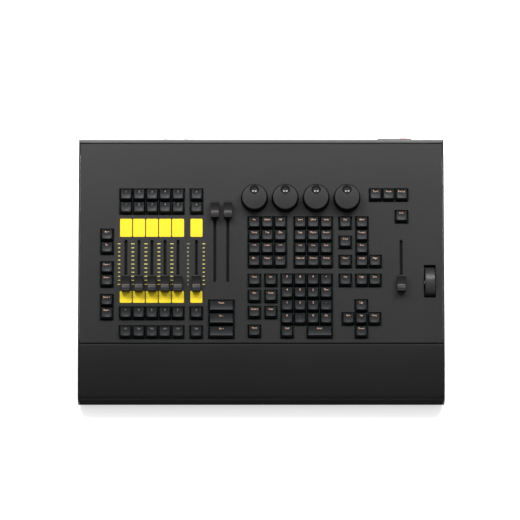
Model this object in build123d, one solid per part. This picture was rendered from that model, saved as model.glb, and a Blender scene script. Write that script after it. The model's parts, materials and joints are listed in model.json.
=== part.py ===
"""A compact lighting control desk: a wedge-shaped steel case with key banks, faders,
encoders, a level wheel and a connector panel, as separate pieces.

Millimetres, +X to the right, +Y to the rear, +Z up. The origin is at the centre of the
desk's footprint, on the surface that its feet stand on. Everything that the operator
touches is placed in the control panel's own frame: u to the right, v up the slope from
the front seam, w out of the panel.
"""

from build123d import *

import math
import os

# ---- the case ----
WIDTH = 536.0  # over the side plates
PANEL_TILT = 5.0  # degrees
PANEL_LENGTH = 297.0  # along the slope
PANEL_SHEET = 2.0
SEAM_Z = 52.0  # height of the seam between the control panel and the wrist rest
SIDE_SHEET = 2.0
CASE_SHEET = 1.5
FOOT_HEIGHT = 7.0
SEAM_GAP = 0.8
EDGE_GAP = 0.4  # panel to side plate
REAR_GAP = 1.6  # panel to rear strip
REAR_CHAMFER = 7.0
REAR_FITTINGS = 6.7  # how far the power rocker stands off the rear panel
EDGE_ROUND = 0.35
INNER_WIDTH = WIDTH - 2 * SIDE_SHEET - 2 * EDGE_GAP
TRAY_TOP = FOOT_HEIGHT + CASE_SHEET

# ---- the wrist rest's outer profile, from the seam forwards ----
REST_RADIUS = 390.0
REST_BEND = 11.0  # degrees turned over the large radius
REST_NOSE_RADIUS = 13.0
REST_LIP = 14.0
REST_LIP_RADIUS = 4.0

# ---- keys ----
PITCH = 19.05
CUTOUT_MARGIN = 1.1
KEY_TRAVEL = 3.5
CAP_BASE = 18.2
CAP_TOP_U, CAP_TOP_V, CAP_TOP_SHIFT = 14.4, 13.4, 0.9
CAP_LOW, CAP_HIGH = -2.0, 7.0
CAP_WALL = 1.3
CAP_CEILING = 4.2
DISH_RADIUS, DISH_DEPTH = 31.0, 0.8
POST_RADIUS, POST_LOW = 2.75, 0.3
CROSS_LONG, CROSS_U, CROSS_V = 4.0, 1.3, 1.1
CROSS_FIT = 0.05
SWITCH_LOW, SWITCH_FLANGE, SWITCH_HIGH = -11.5, -6.9, 0.1
SLIDER_U, SLIDER_V, SLIDER_LOW, SLIDER_HIGH = 7.0, 5.5, -5.0, 3.7
SLIDER_GAP = 0.2

# ---- faders ----
SHORT_TRAVEL, LONG_TRAVEL = 60.0, 100.0
SLOT_WIDTH, SLOT_EXTRA = 4.2, 5.8
FADER_CAP = (12.2, 24.0)  # across, along
FADER_CAP_LOW, FADER_CAP_HIGH, FADER_CAP_VALLEY = 2.0, 15.0, 11.2
POT_WIDTH, POT_HIGH, POT_EXTRA = 9.2, -4.0, 7.5
LEVER = (1.2, 5.0)
LEVER_TOP = 10.0

# ---- encoders, wheel ----
KNOB_BASE_R, KNOB_TOP_R, KNOB_FACE_R = 20.0, 19.1, 17.6
KNOB_LOW, KNOB_HIGH = 1.2, 20.5
DIMPLE_RADIUS, DIMPLE_OFFSET, DIMPLE_DEPTH = 7.0, 10.3, 3.4
SHAFT_RADIUS, SHAFT_CLEARANCE = 3.0, 0.05
WHEEL_RADIUS, WHEEL_WIDTH, WHEEL_CENTRE_W = 24.0, 14.5, -16.0
WHEEL_OFFSET = 0.6
WHEEL_SLOT = (17.3, 48.0)

# ---- boards ----
BOARD_TOP, BOARD_SHEET = -11.5, 1.6
MAIN_BOARD_LOW = TRAY_TOP + 13.0
MAIN_BOARD_TOP = MAIN_BOARD_LOW + BOARD_SHEET

# ---- control positions in the panel frame ----
EXECUTOR_U = [-160.0 + PITCH * (i - 2) for i in range(5)] + [-94.9]
FADER_V = 86.4  # index line of a short fader at the bottom of its travel
CROSSFADER_U = (-67.9, -48.9)
CROSSFADER_V = 195.5  # index line at the top of the travel
MASTER_U = 204.9
ENCODER_U = [-10.0 + 45.2 * i for i in range(4)]
ENCODER_V = 213.0
WHEEL_U, WHEEL_V = 246.5, 90.9
BLOCK_V = 148.4
EDIT_U = (-10.0, 14.05)
EDIT_ROWS = (91.9, 68.1, 44.3)
NUMBER_U, NUMBER_V = 66.3, 63.5
CURSOR_U, CURSOR_V = 146.3, 34.9
LOWEST_KEY_V = NUMBER_V - 2.5 * PITCH

# key banks: node, centre u, centre v, columns, rows, key width in pitches
KEY_BANKS = [
    ("executor_keys_row_1", EXECUTOR_U[2], 218.5, 5, 1, 1),
    ("executor_keys_row_1", EXECUTOR_U[5], 218.5, 1, 1, 1),
    ("executor_keys_row_2", EXECUTOR_U[2], 218.5 - PITCH, 5, 1, 1),
    ("executor_keys_row_2", EXECUTOR_U[5], 218.5 - PITCH, 1, 1, 1),
    ("executor_keys_row_3", EXECUTOR_U[2], 43.2, 5, 1, 1),
    ("executor_keys_row_3", EXECUTOR_U[5], 43.2, 1, 1, 1),
    ("executor_keys_row_4", EXECUTOR_U[2], 15.4, 5, 1, 1),
    ("executor_keys_row_4", EXECUTOR_U[5], 15.4, 1, 1, 1),
    ("page_keys", -225.8, 149.2, 1, 2, 1),
    ("page_keys", -225.8, 100.7, 1, 2, 1),
    ("page_keys", -225.8, 52.3, 1, 2, 1),
    ("pause_key", -58.2, 34.5 + PITCH, 1, 1, 2),
    ("go_back_key", -58.2, 34.5, 1, 1, 2),
    ("go_key", -58.2, 34.5 - PITCH, 1, 1, 2),
    ("programming_keys", 8.9, BLOCK_V, 3, 4, 1),
    ("object_keys", 76.2, BLOCK_V, 3, 4, 1),
    ("modify_keys", 123.1, BLOCK_V + 1.5 * PITCH, 1, 1, 1),
    ("modify_keys", 123.1, BLOCK_V, 1, 1, 1),
    ("modify_keys", 123.1, BLOCK_V - 1.5 * PITCH, 1, 1, 1),
    ("modify_keys", 123.1, EDIT_ROWS[0], 1, 1, 1),
    ("output_keys", 147.5, BLOCK_V, 1, 4, 1),
    ("output_keys", 147.5 + PITCH, BLOCK_V - 1.5 * PITCH, 1, 1, 1),
    ("output_keys", 147.1 + PITCH / 2, EDIT_ROWS[0], 2, 1, 1),
    ("edit_keys", EDIT_U[0], EDIT_ROWS[0], 1, 1, 1),
    ("edit_keys", EDIT_U[1], EDIT_ROWS[0], 1, 1, 1),
    ("edit_keys", EDIT_U[0], EDIT_ROWS[1], 1, 1, 1),
    ("edit_keys", EDIT_U[1], EDIT_ROWS[1], 1, 1, 1),
    ("edit_keys", EDIT_U[0], EDIT_ROWS[2], 1, 1, 1),
    ("edit_keys", EDIT_U[1], EDIT_ROWS[2], 1, 1, 1),
    ("edit_keys", EDIT_U[0], 16.6, 1, 1, 1),
    ("number_keys", NUMBER_U, NUMBER_V, 4, 4, 1),
    ("shift_key", NUMBER_U - 1.5 * PITCH, LOWEST_KEY_V, 1, 1, 1),
    ("enter_key", NUMBER_U + PITCH, LOWEST_KEY_V, 1, 1, 2),
    ("cursor_keys", CURSOR_U, CURSOR_V, 3, 1, 1),
    ("cursor_keys", CURSOR_U, CURSOR_V + PITCH, 1, 1, 1),
    ("cursor_keys", CURSOR_U, CURSOR_V - PITCH, 1, 1, 1),
    ("setup_keys", 186.8, 218.8, 3, 1, 1),
    ("blackout_key", 205.6, 186.4, 1, 1, 1),
]

# ---- rear fittings: centre x, and centre z where no board sets it ----
DMX_X, DMX_Z = (-141.0, -110.5), 44.0
MIDI_X = (-76.0, -50.0)
USB_X = -20.0
NETWORK_X = 6.0
INLET_X, INLET_Z = 196.2, 46.0
INLET_FLANGE = (50.0, 31.0, 4.0)
ROCKER_X = INLET_X + 13.5

_tilt = math.radians(PANEL_TILT)
_parts = {}


def keep(node, *solids):
    """Adds solids to a node."""
    _parts.setdefault(node, []).extend(s for shape in solids for s in shape.solids())


# ---- sheet-metal profiles in the (y, z) plane ----


def _step(point, heading, move):
    """The end point and heading after one move, with the move's middle point."""
    y, z = point
    if move[0] == "run":
        dy, dz = math.cos(heading) * move[1], math.sin(heading) * move[1]
        return (y + dy, z + dz), heading, (y + dy / 2, z + dz / 2)
    radius, turn = move[1], math.radians(move[2])
    side = math.copysign(1.0, turn)
    cy, cz = y - side * radius * math.sin(heading), z + side * radius * math.cos(heading)

    def at(angle):
        return (
            cy + side * radius * math.sin(angle),
            cz - side * radius * math.cos(angle),
        )

    return at(heading + turn), heading + turn, at(heading + turn / 2)


def trace(start, heading_deg, moves):
    """Edges along a path of ("run", length) and ("bend", radius, degrees to the left)."""
    point, heading, edges = start, math.radians(heading_deg), []
    for move in moves:
        end, heading, middle = _step(point, heading, move)
        if move[0] == "run":
            edges.append(Line(point, end))
        else:
            edges.append(ThreePointArc(point, middle, end))
        point = end
    return edges, point, heading


def sheet(start, heading_deg, thickness, moves, width, centre_x=0.0):
    """A bent sheet: the path is the middle of its thickness, and it is width wide along X."""
    sides, ends = [], []
    for side in (1, -1):
        h = math.radians(heading_deg)
        offset = side * thickness / 2
        first = (start[0] - offset * math.sin(h), start[1] + offset * math.cos(h))
        shifted = [
            m if m[0] == "run" else ("bend", m[1] - math.copysign(1, m[2]) * offset, m[2])
            for m in moves
        ]
        edges, last, _ = trace(first, heading_deg, shifted)
        sides += edges
        ends.append((first, last))
    outline = sides + [Line(ends[0][0], ends[1][0]), Line(ends[0][1], ends[1][1])]
    face = Plane.YZ * make_face(outline)
    return Pos(centre_x, 0, 0) * extrude(face, width / 2, both=True)


REST_MOVES = [
    ("bend", REST_RADIUS, REST_BEND),
    ("bend", REST_NOSE_RADIUS, 90.0 - PANEL_TILT - REST_BEND),
]


def _rest_depth():
    """How far the wrist rest's surface reaches forward of its rear edge."""
    _, end, _ = trace((0.0, 0.0), 180.0 + PANEL_TILT, REST_MOVES)
    return -end[0]


REST_DEPTH = _rest_depth()
DEPTH = (
    REST_DEPTH + SEAM_GAP + PANEL_LENGTH * math.cos(_tilt) + REAR_CHAMFER + REAR_FITTINGS
)
FRONT_Y = -DEPTH / 2
REAR_Y = DEPTH / 2 - REAR_FITTINGS
SEAM_Y = FRONT_Y + REST_DEPTH + SEAM_GAP
PANEL = Plane(
    origin=(0, SEAM_Y, SEAM_Z),
    x_dir=(1, 0, 0),
    z_dir=(0, -math.sin(_tilt), math.cos(_tilt)),
)


def on_panel(u, v, w, shape):
    """A shape built at its own origin, put at (u, v, w) on the control panel."""
    return PANEL * (Pos(u, v, w) * shape)


def panel_point(v, w=0.0):
    """(y, z) of a point on the panel."""
    p = PANEL.from_local_coords(Vector(0, v, w))
    return p.Y, p.Z


def slab(u_size, v_size, w_low, w_high, u=0.0, v=0.0):
    """A box between two levels."""
    return Pos(u, v, (w_low + w_high) / 2) * Box(u_size, v_size, w_high - w_low)


def slab_between(x, y, z):
    """A box from (low, high) pairs."""
    return Pos(sum(x) / 2, sum(y) / 2, sum(z) / 2) * Box(x[1] - x[0], y[1] - y[0], z[1] - z[0])


def rod(radius, low, high, u=0.0, v=0.0):
    """A cylinder along w between two levels."""
    return Pos(u, v, (low + high) / 2) * Cylinder(radius, high - low)


def rounded_plate(u_size, v_size, radius, w_low, w_high):
    """A plate with rounded corners."""
    return Pos(0, 0, w_low) * extrude(RectangleRounded(u_size, v_size, radius), w_high - w_low)


# ---- fasteners ----

SCREW_RADIUS, SCREW_HOLE = 1.45, 1.6
COUNTERSINK_RADIUS, COUNTERSINK_DEPTH = 2.9, 1.5
PAN_RADIUS, PAN_HEIGHT = 2.8, 1.8
SOCKET_RADIUS, SOCKET_DEPTH = 1.05, 1.0


def screw(length, countersunk):
    """A screw along -Z: a countersunk head is flush with Z 0, and a pan head stands on it."""
    if countersunk:
        head = Pos(0, 0, -COUNTERSINK_DEPTH / 2) * Cone(
            SCREW_RADIUS, COUNTERSINK_RADIUS - 0.1, COUNTERSINK_DEPTH
        )
        top = 0.0
    else:
        head = rod(PAN_RADIUS, 0, PAN_HEIGHT)
        head = fillet(head.edges().sort_by(Axis.Z)[-1], 1.0)
        top = PAN_HEIGHT
    socket = Pos(0, 0, top - SOCKET_DEPTH) * extrude(
        RegularPolygon(SOCKET_RADIUS, 6), SOCKET_DEPTH
    )
    return head + rod(SCREW_RADIUS, -length, 0) - socket


def screw_hole(depth, countersunk):
    """The hole that such a screw passes through."""
    hole = rod(SCREW_HOLE, -depth, 0.5)
    if countersunk:
        hole += Pos(0, 0, -COUNTERSINK_DEPTH / 2) * Cone(
            SCREW_RADIUS + 0.1, COUNTERSINK_RADIUS, COUNTERSINK_DEPTH
        )
    return hole


def facing(x, y, z, direction):
    """A location whose +Z points in direction."""
    return Plane(origin=(x, y, z), z_dir=direction).location


SIDE_SCREW_Y = (-140.0, 0.0, 150.0)
SIDE_SCREW_Z = FOOT_HEIGHT + 9.0
TOP_BAR_V = (20.0, 150.0, 270.0)
TOP_SCREW_W = -9.0
REAR_SCREW_X = (-250.0, -170.0, 60.0, 140.0, 250.0)
REAR_SCREW_Z = FOOT_HEIGHT + 7.0
SCREW_LENGTH = 6.0


def side_screw_places(side):
    """Places of the countersunk screws in one side plate."""
    out = (side, 0, 0)
    x = side * WIDTH / 2
    places = [facing(x, y, SIDE_SCREW_Z, out) for y in SIDE_SCREW_Y]
    for v in TOP_BAR_V:
        y, z = panel_point(v, TOP_SCREW_W)
        places.append(facing(x, y, z, out))
    return places


def rear_screw_places():
    """Places of the pan-head screws along the foot of the rear panel."""
    return [facing(x, REAR_Y, REAR_SCREW_Z, (0, 1, 0)) for x in REAR_SCREW_X]


def drilled(shape, places, depth, countersunk):
    """A shape with screw holes."""
    for place in places:
        shape -= place * screw_hole(depth, countersunk)
    return shape


# ---- the case ----


def fader_slots():
    """(u, v centre, travel) of every fader."""
    short = [(u, FADER_V + SHORT_TRAVEL / 2, SHORT_TRAVEL) for u in EXECUTOR_U + [MASTER_U]]
    cross = [(u, CROSSFADER_V - LONG_TRAVEL / 2, LONG_TRAVEL) for u in CROSSFADER_U]
    return short + cross


def control_panel():
    """The faceplate with every cut-out."""
    length = PANEL_LENGTH - REAR_GAP
    plate = Pos(0, length / 2) * Rectangle(INNER_WIDTH, length)
    for _, u, v, columns, rows, units in KEY_BANKS:
        plate -= Pos(u, v) * Rectangle(
            columns * units * PITCH + CUTOUT_MARGIN, rows * PITCH + CUTOUT_MARGIN
        )
    for u, v, travel in fader_slots():
        plate -= Pos(u, v) * SlotOverall(
            travel + 2 * SLOT_EXTRA, SLOT_WIDTH, rotation=90
        )
    for u in ENCODER_U:
        plate -= Pos(u, ENCODER_V) * Circle(ENCODER_BUSH_R + 0.3)
    plate -= Pos(WHEEL_U, WHEEL_V) * Rectangle(*WHEEL_SLOT)
    body = extrude(plate, -PANEL_SHEET)
    top = body.faces().sort_by(Axis.Z)[-1]
    return PANEL * chamfer(top.edges(), EDGE_ROUND)


def side_plate(side):
    """One wedge-shaped side plate."""
    rest, nose, _ = trace((SEAM_Y - SEAM_GAP, SEAM_Z), 180.0 + PANEL_TILT, REST_MOVES)
    rear_top = panel_point(PANEL_LENGTH)
    wall_top = (REAR_Y, rear_top[1] - REAR_CHAMFER)
    chamfer_top = (REAR_Y - REAR_CHAMFER, rear_top[1])
    low = FOOT_HEIGHT
    loop = rest + [
        Line(nose, (nose[0], low)),
        Line((nose[0], low), (REAR_Y, low)),
        Line((REAR_Y, low), wall_top),
        Line(wall_top, chamfer_top),
        Line(chamfer_top, (SEAM_Y - SEAM_GAP, SEAM_Z)),
    ]
    plate = extrude(Plane.YZ * make_face(loop), SIDE_SHEET)
    plate = Pos(-WIDTH / 2 if side < 0 else WIDTH / 2 - SIDE_SHEET, 0, 0) * plate
    return drilled(plate, side_screw_places(side), SIDE_SHEET + 1, True)


def wrist_rest():
    """The curved front cover: bottom lip, front wall, nose, rest surface and rear hem."""
    half, hem_bend, hem = PANEL_SHEET / 2, 1.6, 8.0
    _, nose, _ = trace((SEAM_Y - SEAM_GAP, SEAM_Z), 180.0 + PANEL_TILT, REST_MOVES)
    (_, rest_radius, rest_turn), (_, nose_radius, nose_turn) = REST_MOVES
    hem_turn = math.degrees((hem_bend + half) / rest_radius)
    moves = [
        ("run", REST_LIP),
        ("bend", REST_LIP_RADIUS - half, -90.0),
        ("run", nose[1] - FOOT_HEIGHT - REST_LIP_RADIUS),
        ("bend", nose_radius - half, -nose_turn),
        ("bend", rest_radius - half, hem_turn - rest_turn),
        ("bend", hem_bend, -90.0 - PANEL_TILT - hem_turn),
        ("run", hem),
    ]
    start = (FRONT_Y + REST_LIP_RADIUS + REST_LIP, FOOT_HEIGHT + half)
    return sheet(start, 180.0, PANEL_SHEET, moves, INNER_WIDTH)


def rear_panel():
    """The connector panel, with its sloping top strip and the hem behind the faceplate."""
    half, bend, fold, hem = CASE_SHEET / 2, 1.5, 1.0, 7.0
    top = panel_point(PANEL_LENGTH)[1]
    blunt, sharp = math.tan(math.radians(22.5)), math.tan(math.radians(67.5))
    strip = REAR_CHAMFER * math.sqrt(2)
    moves = [
        ("run", top - REAR_CHAMFER - FOOT_HEIGHT - (half + bend) * blunt),
        ("bend", bend, 45.0),
        ("run", strip - (half + bend) * blunt - (half + fold) * sharp),
        ("bend", fold, 135.0),
        ("run", hem),
    ]
    body = sheet((REAR_Y - half, FOOT_HEIGHT), 90.0, CASE_SHEET, moves, INNER_WIDTH)
    for x in DMX_X:
        body -= Pos(x, REAR_Y, DMX_Z) * Rot(90, 0, 0) * Cylinder(DMX_BARREL_R + 0.3, 8)
    for x in MIDI_X:
        body -= Pos(x, REAR_Y, MIDI_Z) * Rot(90, 0, 0) * Cylinder(MIDI_SHELL_R + 0.3, 8)
    body -= Pos(USB_X, REAR_Y, USB_Z) * Box(USB_SHELL[0] + 0.6, 8, USB_SHELL[1] + 0.6)
    body -= Pos(NETWORK_X, REAR_Y, NETWORK_Z) * Box(
        NETWORK_SHELL[0] + 0.6, 8, NETWORK_SHELL[1] + 0.6
    )
    body -= Pos(INLET_X, REAR_Y, INLET_Z) * Box(INLET_BODY[0] + 0.4, 8, INLET_BODY[1] + 0.4)
    for i in range(VENT_COUNT):
        slot = Pos(VENT_X + VENT_PITCH * i, REAR_Y, VENT_Z) * Rot(90, 0, 0)
        body -= slot * extrude(SlotOverall(VENT_LENGTH, VENT_WIDTH, rotation=90), 8, both=True)
    body = drilled(body, rear_screw_places(), 4, False)
    return drilled(body, dmx_screw_places(), 4, False)


VENT_COUNT, VENT_PITCH, VENT_LENGTH, VENT_WIDTH = 12, 7.0, 26.0, 3.0
VENT_X, VENT_Z = 56.0, 42.0
TRAY_FRONT_Y = FRONT_Y + REST_LIP + REST_LIP_RADIUS + 2.0
TRAY_FLANGE = 12.0
FOOT_X, FOOT_Y, FOOT_RADIUS = 232.0, 155.0, 11.0
FOOT_SCREW_RADIUS = 1.5


def base_tray():
    """The bottom sheet, turned up at the front and rear, with vents."""
    half, bend = CASE_SHEET / 2, 1.5
    front, rear = TRAY_FRONT_Y, REAR_Y - CASE_SHEET - 0.2
    moves = [
        ("run", TRAY_FLANGE),
        ("bend", bend, 90.0),
        ("run", rear - front - 2 * half - 2 * bend),
        ("bend", bend, 90.0),
        ("run", TRAY_FLANGE),
    ]
    start = (front + half, FOOT_HEIGHT + half + bend + TRAY_FLANGE)
    tray = sheet(start, 270.0, CASE_SHEET, moves, INNER_WIDTH)
    for i in range(16):
        for y in (-60.0, -20.0):
            slot = extrude(SlotOverall(30, 3, rotation=90), 4, both=True)
            tray -= Pos(-75.0 + 10.0 * i, y, FOOT_HEIGHT) * slot
    for x in (-FOOT_X, FOOT_X):
        for y in (-FOOT_Y, FOOT_Y):
            tray -= Pos(x, y, FOOT_HEIGHT) * Cylinder(FOOT_SCREW_RADIUS + 0.15, 6)
    for x, y in tray_screws():
        tray -= Pos(x, y, FOOT_HEIGHT) * Cylinder(SCREW_HOLE, 6)
    for place in rear_screw_places():
        tray -= place * rod(SCREW_HOLE, -8, 0)
    return tray


BAR_LEG = 8.0
REAR_BAR_HALF = 250.0


def tray_screws():
    """(x, y) of the screws that hold the tray to the lower bars."""
    x = WIDTH / 2 - SIDE_SHEET - 5.0
    return [(s * x, y) for s in (-1, 1) for y in (-100.0, 40.0, 120.0)]


def rear_bar():
    """The angle bar under the faceplate's rear edge."""
    rear, leg = PANEL_LENGTH - REAR_GAP, 12.0
    under = -PANEL_SHEET
    u = (-REAR_BAR_HALF, REAR_BAR_HALF)
    bar = slab_between(u, (rear - leg, rear), (under - CASE_SHEET, under))
    bar += slab_between(u, (rear - CASE_SHEET, rear), (under - leg, under))
    return PANEL * bar


def frame_bars():
    """The angle bars that join the side plates to the tray and to the faceplate."""
    keep("frame_bars", rear_bar())
    for side in (-1, 1):
        inner = side * (WIDTH / 2 - SIDE_SHEET)
        near = sorted((inner, inner - side * BAR_LEG))
        wall = sorted((inner, inner - side * CASE_SHEET))
        y = (TRAY_FRONT_Y + 6.0, REAR_Y - 8.0)
        low = slab_between(near, y, (TRAY_TOP, TRAY_TOP + CASE_SHEET))
        low += slab_between(wall, y, (TRAY_TOP, TRAY_TOP + 12.0))
        low = drilled(low, side_screw_places(side)[:3], SIDE_SHEET + 3, False)
        for x, y_hole in tray_screws():
            low -= Pos(x, y_hole, TRAY_TOP) * Cylinder(SCREW_HOLE, 6)
        v = (6.0, PANEL_LENGTH - 18.0)
        high = slab_between(near, v, (-PANEL_SHEET - CASE_SHEET, -PANEL_SHEET))
        high += slab_between(wall, v, (-PANEL_SHEET - 12.0, -PANEL_SHEET))
        high = drilled(PANEL * high, side_screw_places(side)[3:], SIDE_SHEET + 3, False)
        keep("frame_bars", low, high)


def case_screws():
    """Every visible case screw, and the sockets' flange screws."""
    flush, pan = screw(SCREW_LENGTH, True), screw(SCREW_LENGTH, False)
    for side in (-1, 1):
        keep("case_screws", *[place * flush for place in side_screw_places(side)])
    keep("case_screws", *[place * pan for place in rear_screw_places()])
    flange_screw = screw(SCREW_LENGTH + DMX_FLANGE[2], False)
    for place in dmx_screw_places():
        keep("case_screws", place * Pos(0, 0, DMX_FLANGE[2]) * flange_screw)
    for x, y in tray_screws():
        keep("case_screws", facing(x, y, FOOT_HEIGHT, (0, 0, -1)) * screw(5.0, False))


def rubber_feet():
    """Four feet, and the screw that holds each of them to the tray."""
    foot = Pos(0, 0, FOOT_HEIGHT / 2) * Cone(FOOT_RADIUS - 1.5, FOOT_RADIUS, FOOT_HEIGHT)
    foot = fillet(foot.edges().sort_by(Axis.Z)[0], 1.2)
    foot -= Pos(0, 0, 1.4) * Cylinder(4.0, 2.8)
    foot -= Pos(0, 0, FOOT_HEIGHT / 2) * Cylinder(FOOT_SCREW_RADIUS + 0.1, FOOT_HEIGHT)
    pin = rod(3.2, 0.9, 2.8) + rod(FOOT_SCREW_RADIUS, 2.8, FOOT_HEIGHT + 4.5)
    for x in (-FOOT_X, FOOT_X):
        for y in (-FOOT_Y, FOOT_Y):
            keep("rubber_feet", Pos(x, y, 0) * foot)
            keep("case_screws", Pos(x, y, 0) * pin)


# ---- the printed foil round the executor faders ----

FOIL_U, FOIL_V = (-214.6, -77.9), (55.3, 186.4)
FOIL_SHEET, LABEL_SHEET = 0.2, 0.2
LABEL_WIDTH, LABEL_ROUND = 17.6, 1.4
UPPER_LABEL_V, LOWER_LABEL_V = (156.8, 183.6), (59.0, 76.5)


def fader_foil():
    """The foil, with a slot over each executor fader."""
    foil = Pos(sum(FOIL_U) / 2, sum(FOIL_V) / 2) * RectangleRounded(
        FOIL_U[1] - FOIL_U[0], FOIL_V[1] - FOIL_V[0], 2.0
    )
    for u in EXECUTOR_U:
        foil -= Pos(u, FADER_V + SHORT_TRAVEL / 2) * SlotOverall(
            SHORT_TRAVEL + 2 * SLOT_EXTRA + 0.6, SLOT_WIDTH + 0.6, rotation=90
        )
    return PANEL * extrude(foil, FOIL_SHEET)


def label_fields():
    """Write-on fields above and below each executor fader."""
    for u in EXECUTOR_U:
        for low, high in (UPPER_LABEL_V, LOWER_LABEL_V):
            plate = rounded_plate(
                LABEL_WIDTH, high - low, LABEL_ROUND, FOIL_SHEET, FOIL_SHEET + LABEL_SHEET
            )
            keep("label_fields", on_panel(u, (low + high) / 2, 0, plate))


# ---- keys ----


def key_places():
    """(node, u, v, units) of every key."""
    for node, u, v, columns, rows, units in KEY_BANKS:
        for c in range(columns):
            for r in range(rows):
                du = PITCH * units * (c - (columns - 1) / 2)
                dv = PITCH * ((rows - 1) / 2 - r)
                yield node, u + du, v + dv, units


def tapered(base_u, base_v, top_u, top_v, low, high, shift, corner):
    """A loft between two rounded rectangles, the upper one shifted to the rear."""
    lower = Pos(0, 0, low) * RectangleRounded(base_u, base_v, corner * 0.6)
    upper = Pos(0, shift, high) * RectangleRounded(top_u, top_v, corner)
    return loft([lower, upper])


def cross(long_u, long_v, arm_u, arm_v, low, high):
    """The cross on a switch's slider."""
    return slab(long_u, arm_v, low, high) + slab(arm_u, long_v, low, high)


def key_cap(units):
    """A hollow cap with a dished top and a post that takes the slider's cross."""
    extra = PITCH * (units - 1)
    outer = tapered(
        CAP_BASE + extra, CAP_BASE, CAP_TOP_U + extra, CAP_TOP_V,
        CAP_LOW, CAP_HIGH, CAP_TOP_SHIFT, 1.8,
    )
    dish_centre = CAP_HIGH + DISH_RADIUS - DISH_DEPTH
    if units == 1:
        outer -= Pos(0, CAP_TOP_SHIFT, dish_centre) * Sphere(DISH_RADIUS)
    else:
        outer -= Pos(0, CAP_TOP_SHIFT, dish_centre) * Rot(0, 90, 0) * Cylinder(
            DISH_RADIUS, CAP_BASE + extra + 4
        )
    inner_shift = CAP_TOP_SHIFT * (CAP_CEILING - CAP_LOW) / (CAP_HIGH - CAP_LOW)
    inner = tapered(
        CAP_BASE - 2 * CAP_WALL + extra, CAP_BASE - 2 * CAP_WALL,
        CAP_TOP_U - 2 * CAP_WALL + 0.4 + extra, CAP_TOP_V - 2 * CAP_WALL + 0.6,
        CAP_LOW, CAP_CEILING, inner_shift, 1.2,
    )
    fit = 2 * CROSS_FIT
    socket = cross(
        CROSS_LONG + fit, CROSS_LONG + fit, CROSS_U + fit, CROSS_V + fit,
        POST_LOW, SLIDER_HIGH + CROSS_FIT,
    )
    post = rod(POST_RADIUS, POST_LOW, CAP_CEILING) - socket
    return outer - inner + post


def key_slider():
    """The switch's moving stem, which carries the cap on its cross."""
    block = slab(SLIDER_U, SLIDER_V, SLIDER_LOW, SWITCH_HIGH)
    return block + cross(
        CROSS_LONG, CROSS_LONG, CROSS_U, CROSS_V, SWITCH_HIGH, SLIDER_HIGH
    )


def key_switch():
    """A switch's housing on the board, with the well that its slider runs in."""
    body = slab(13.9, 13.9, SWITCH_LOW, SWITCH_FLANGE)
    body += slab(15.4, 15.4, SWITCH_FLANGE, SWITCH_FLANGE + 0.7)
    body += tapered(
        13.6, 13.6, 10.0, 9.0, SWITCH_FLANGE + 0.7, SWITCH_HIGH, 0.0, 0.8
    )
    gap = 2 * SLIDER_GAP
    return body - slab(SLIDER_U + gap, SLIDER_V + gap, SWITCH_LOW + 2.0, SWITCH_HIGH)


def keys():
    """Every cap, slider and switch."""
    caps = {units: key_cap(units) for units in (1, 2)}
    slider, switch = key_slider(), key_switch()
    for node, u, v, units in key_places():
        keep(node, on_panel(u, v, 0, caps[units]), on_panel(u, v, 0, slider))
        keep("key_switches", on_panel(u, v, 0, switch))


# ---- faders ----

CARRIAGE = (5.4, 7.0, 3.4)
TRACK_CAVITY = (6.4, 4.4)
TRACK_FLOOR = 1.5


def fader_cap():
    """A cap with a finger saddle, its underside hollowed round the lever's socket."""
    across, along = FADER_CAP
    half = along / 2
    low, high, valley = FADER_CAP_LOW, FADER_CAP_HIGH, FADER_CAP_VALLEY
    outline = [
        Line((-half - 0.6, low), (half + 0.6, low)),
        Line((half + 0.6, low), (half, high - 0.8)),
        ThreePointArc((half, high - 0.8), (half - 0.6, high - 0.1), (half - 1.6, high)),
        ThreePointArc((half - 1.6, high), (0, valley), (-half + 1.6, high)),
        ThreePointArc((-half + 1.6, high), (-half + 0.6, high - 0.1), (-half, high - 0.8)),
        Line((-half, high - 0.8), (-half - 0.6, low)),
    ]
    body = extrude(Plane.YZ * make_face(outline), across / 2, both=True)
    sides = [e for e in body.edges() if abs(abs(e.center().X) - across / 2) < 0.01]
    upper = [e for e in sides if e.center().Z > low + 1]
    body = fillet(upper, 0.7)
    wall = 1.4
    body -= slab(across - 2 * wall, along - 2 * wall, low, valley - 2.4)
    boss = slab(4.4, 8.2, low + 0.6, valley - 2.4)
    fit = 0.1
    return body + boss - slab(LEVER[0] + fit, LEVER[1] + fit, low, LEVER_TOP + 0.1)


def fader_lever():
    """The sliding carriage inside the track, and the lever that the cap sits on."""
    floor = BOARD_TOP + TRACK_FLOOR + 0.4
    carriage = slab(CARRIAGE[0], CARRIAGE[1], floor, floor + CARRIAGE[2])
    return carriage + slab(LEVER[0], LEVER[1], floor + CARRIAGE[2], LEVER_TOP)


def fader_track(travel):
    """A slide potentiometer's case, with its cavity and slot."""
    length = travel + 2 * POT_EXTRA
    case = slab(POT_WIDTH, length, BOARD_TOP, POT_HIGH)
    low = BOARD_TOP + TRACK_FLOOR
    run = travel + CARRIAGE[1] + 1.5
    case -= slab(TRACK_CAVITY[0], run, low, low + TRACK_CAVITY[1])
    return case - slab(LEVER[0] + 0.8, run, low, POT_HIGH)


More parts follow.
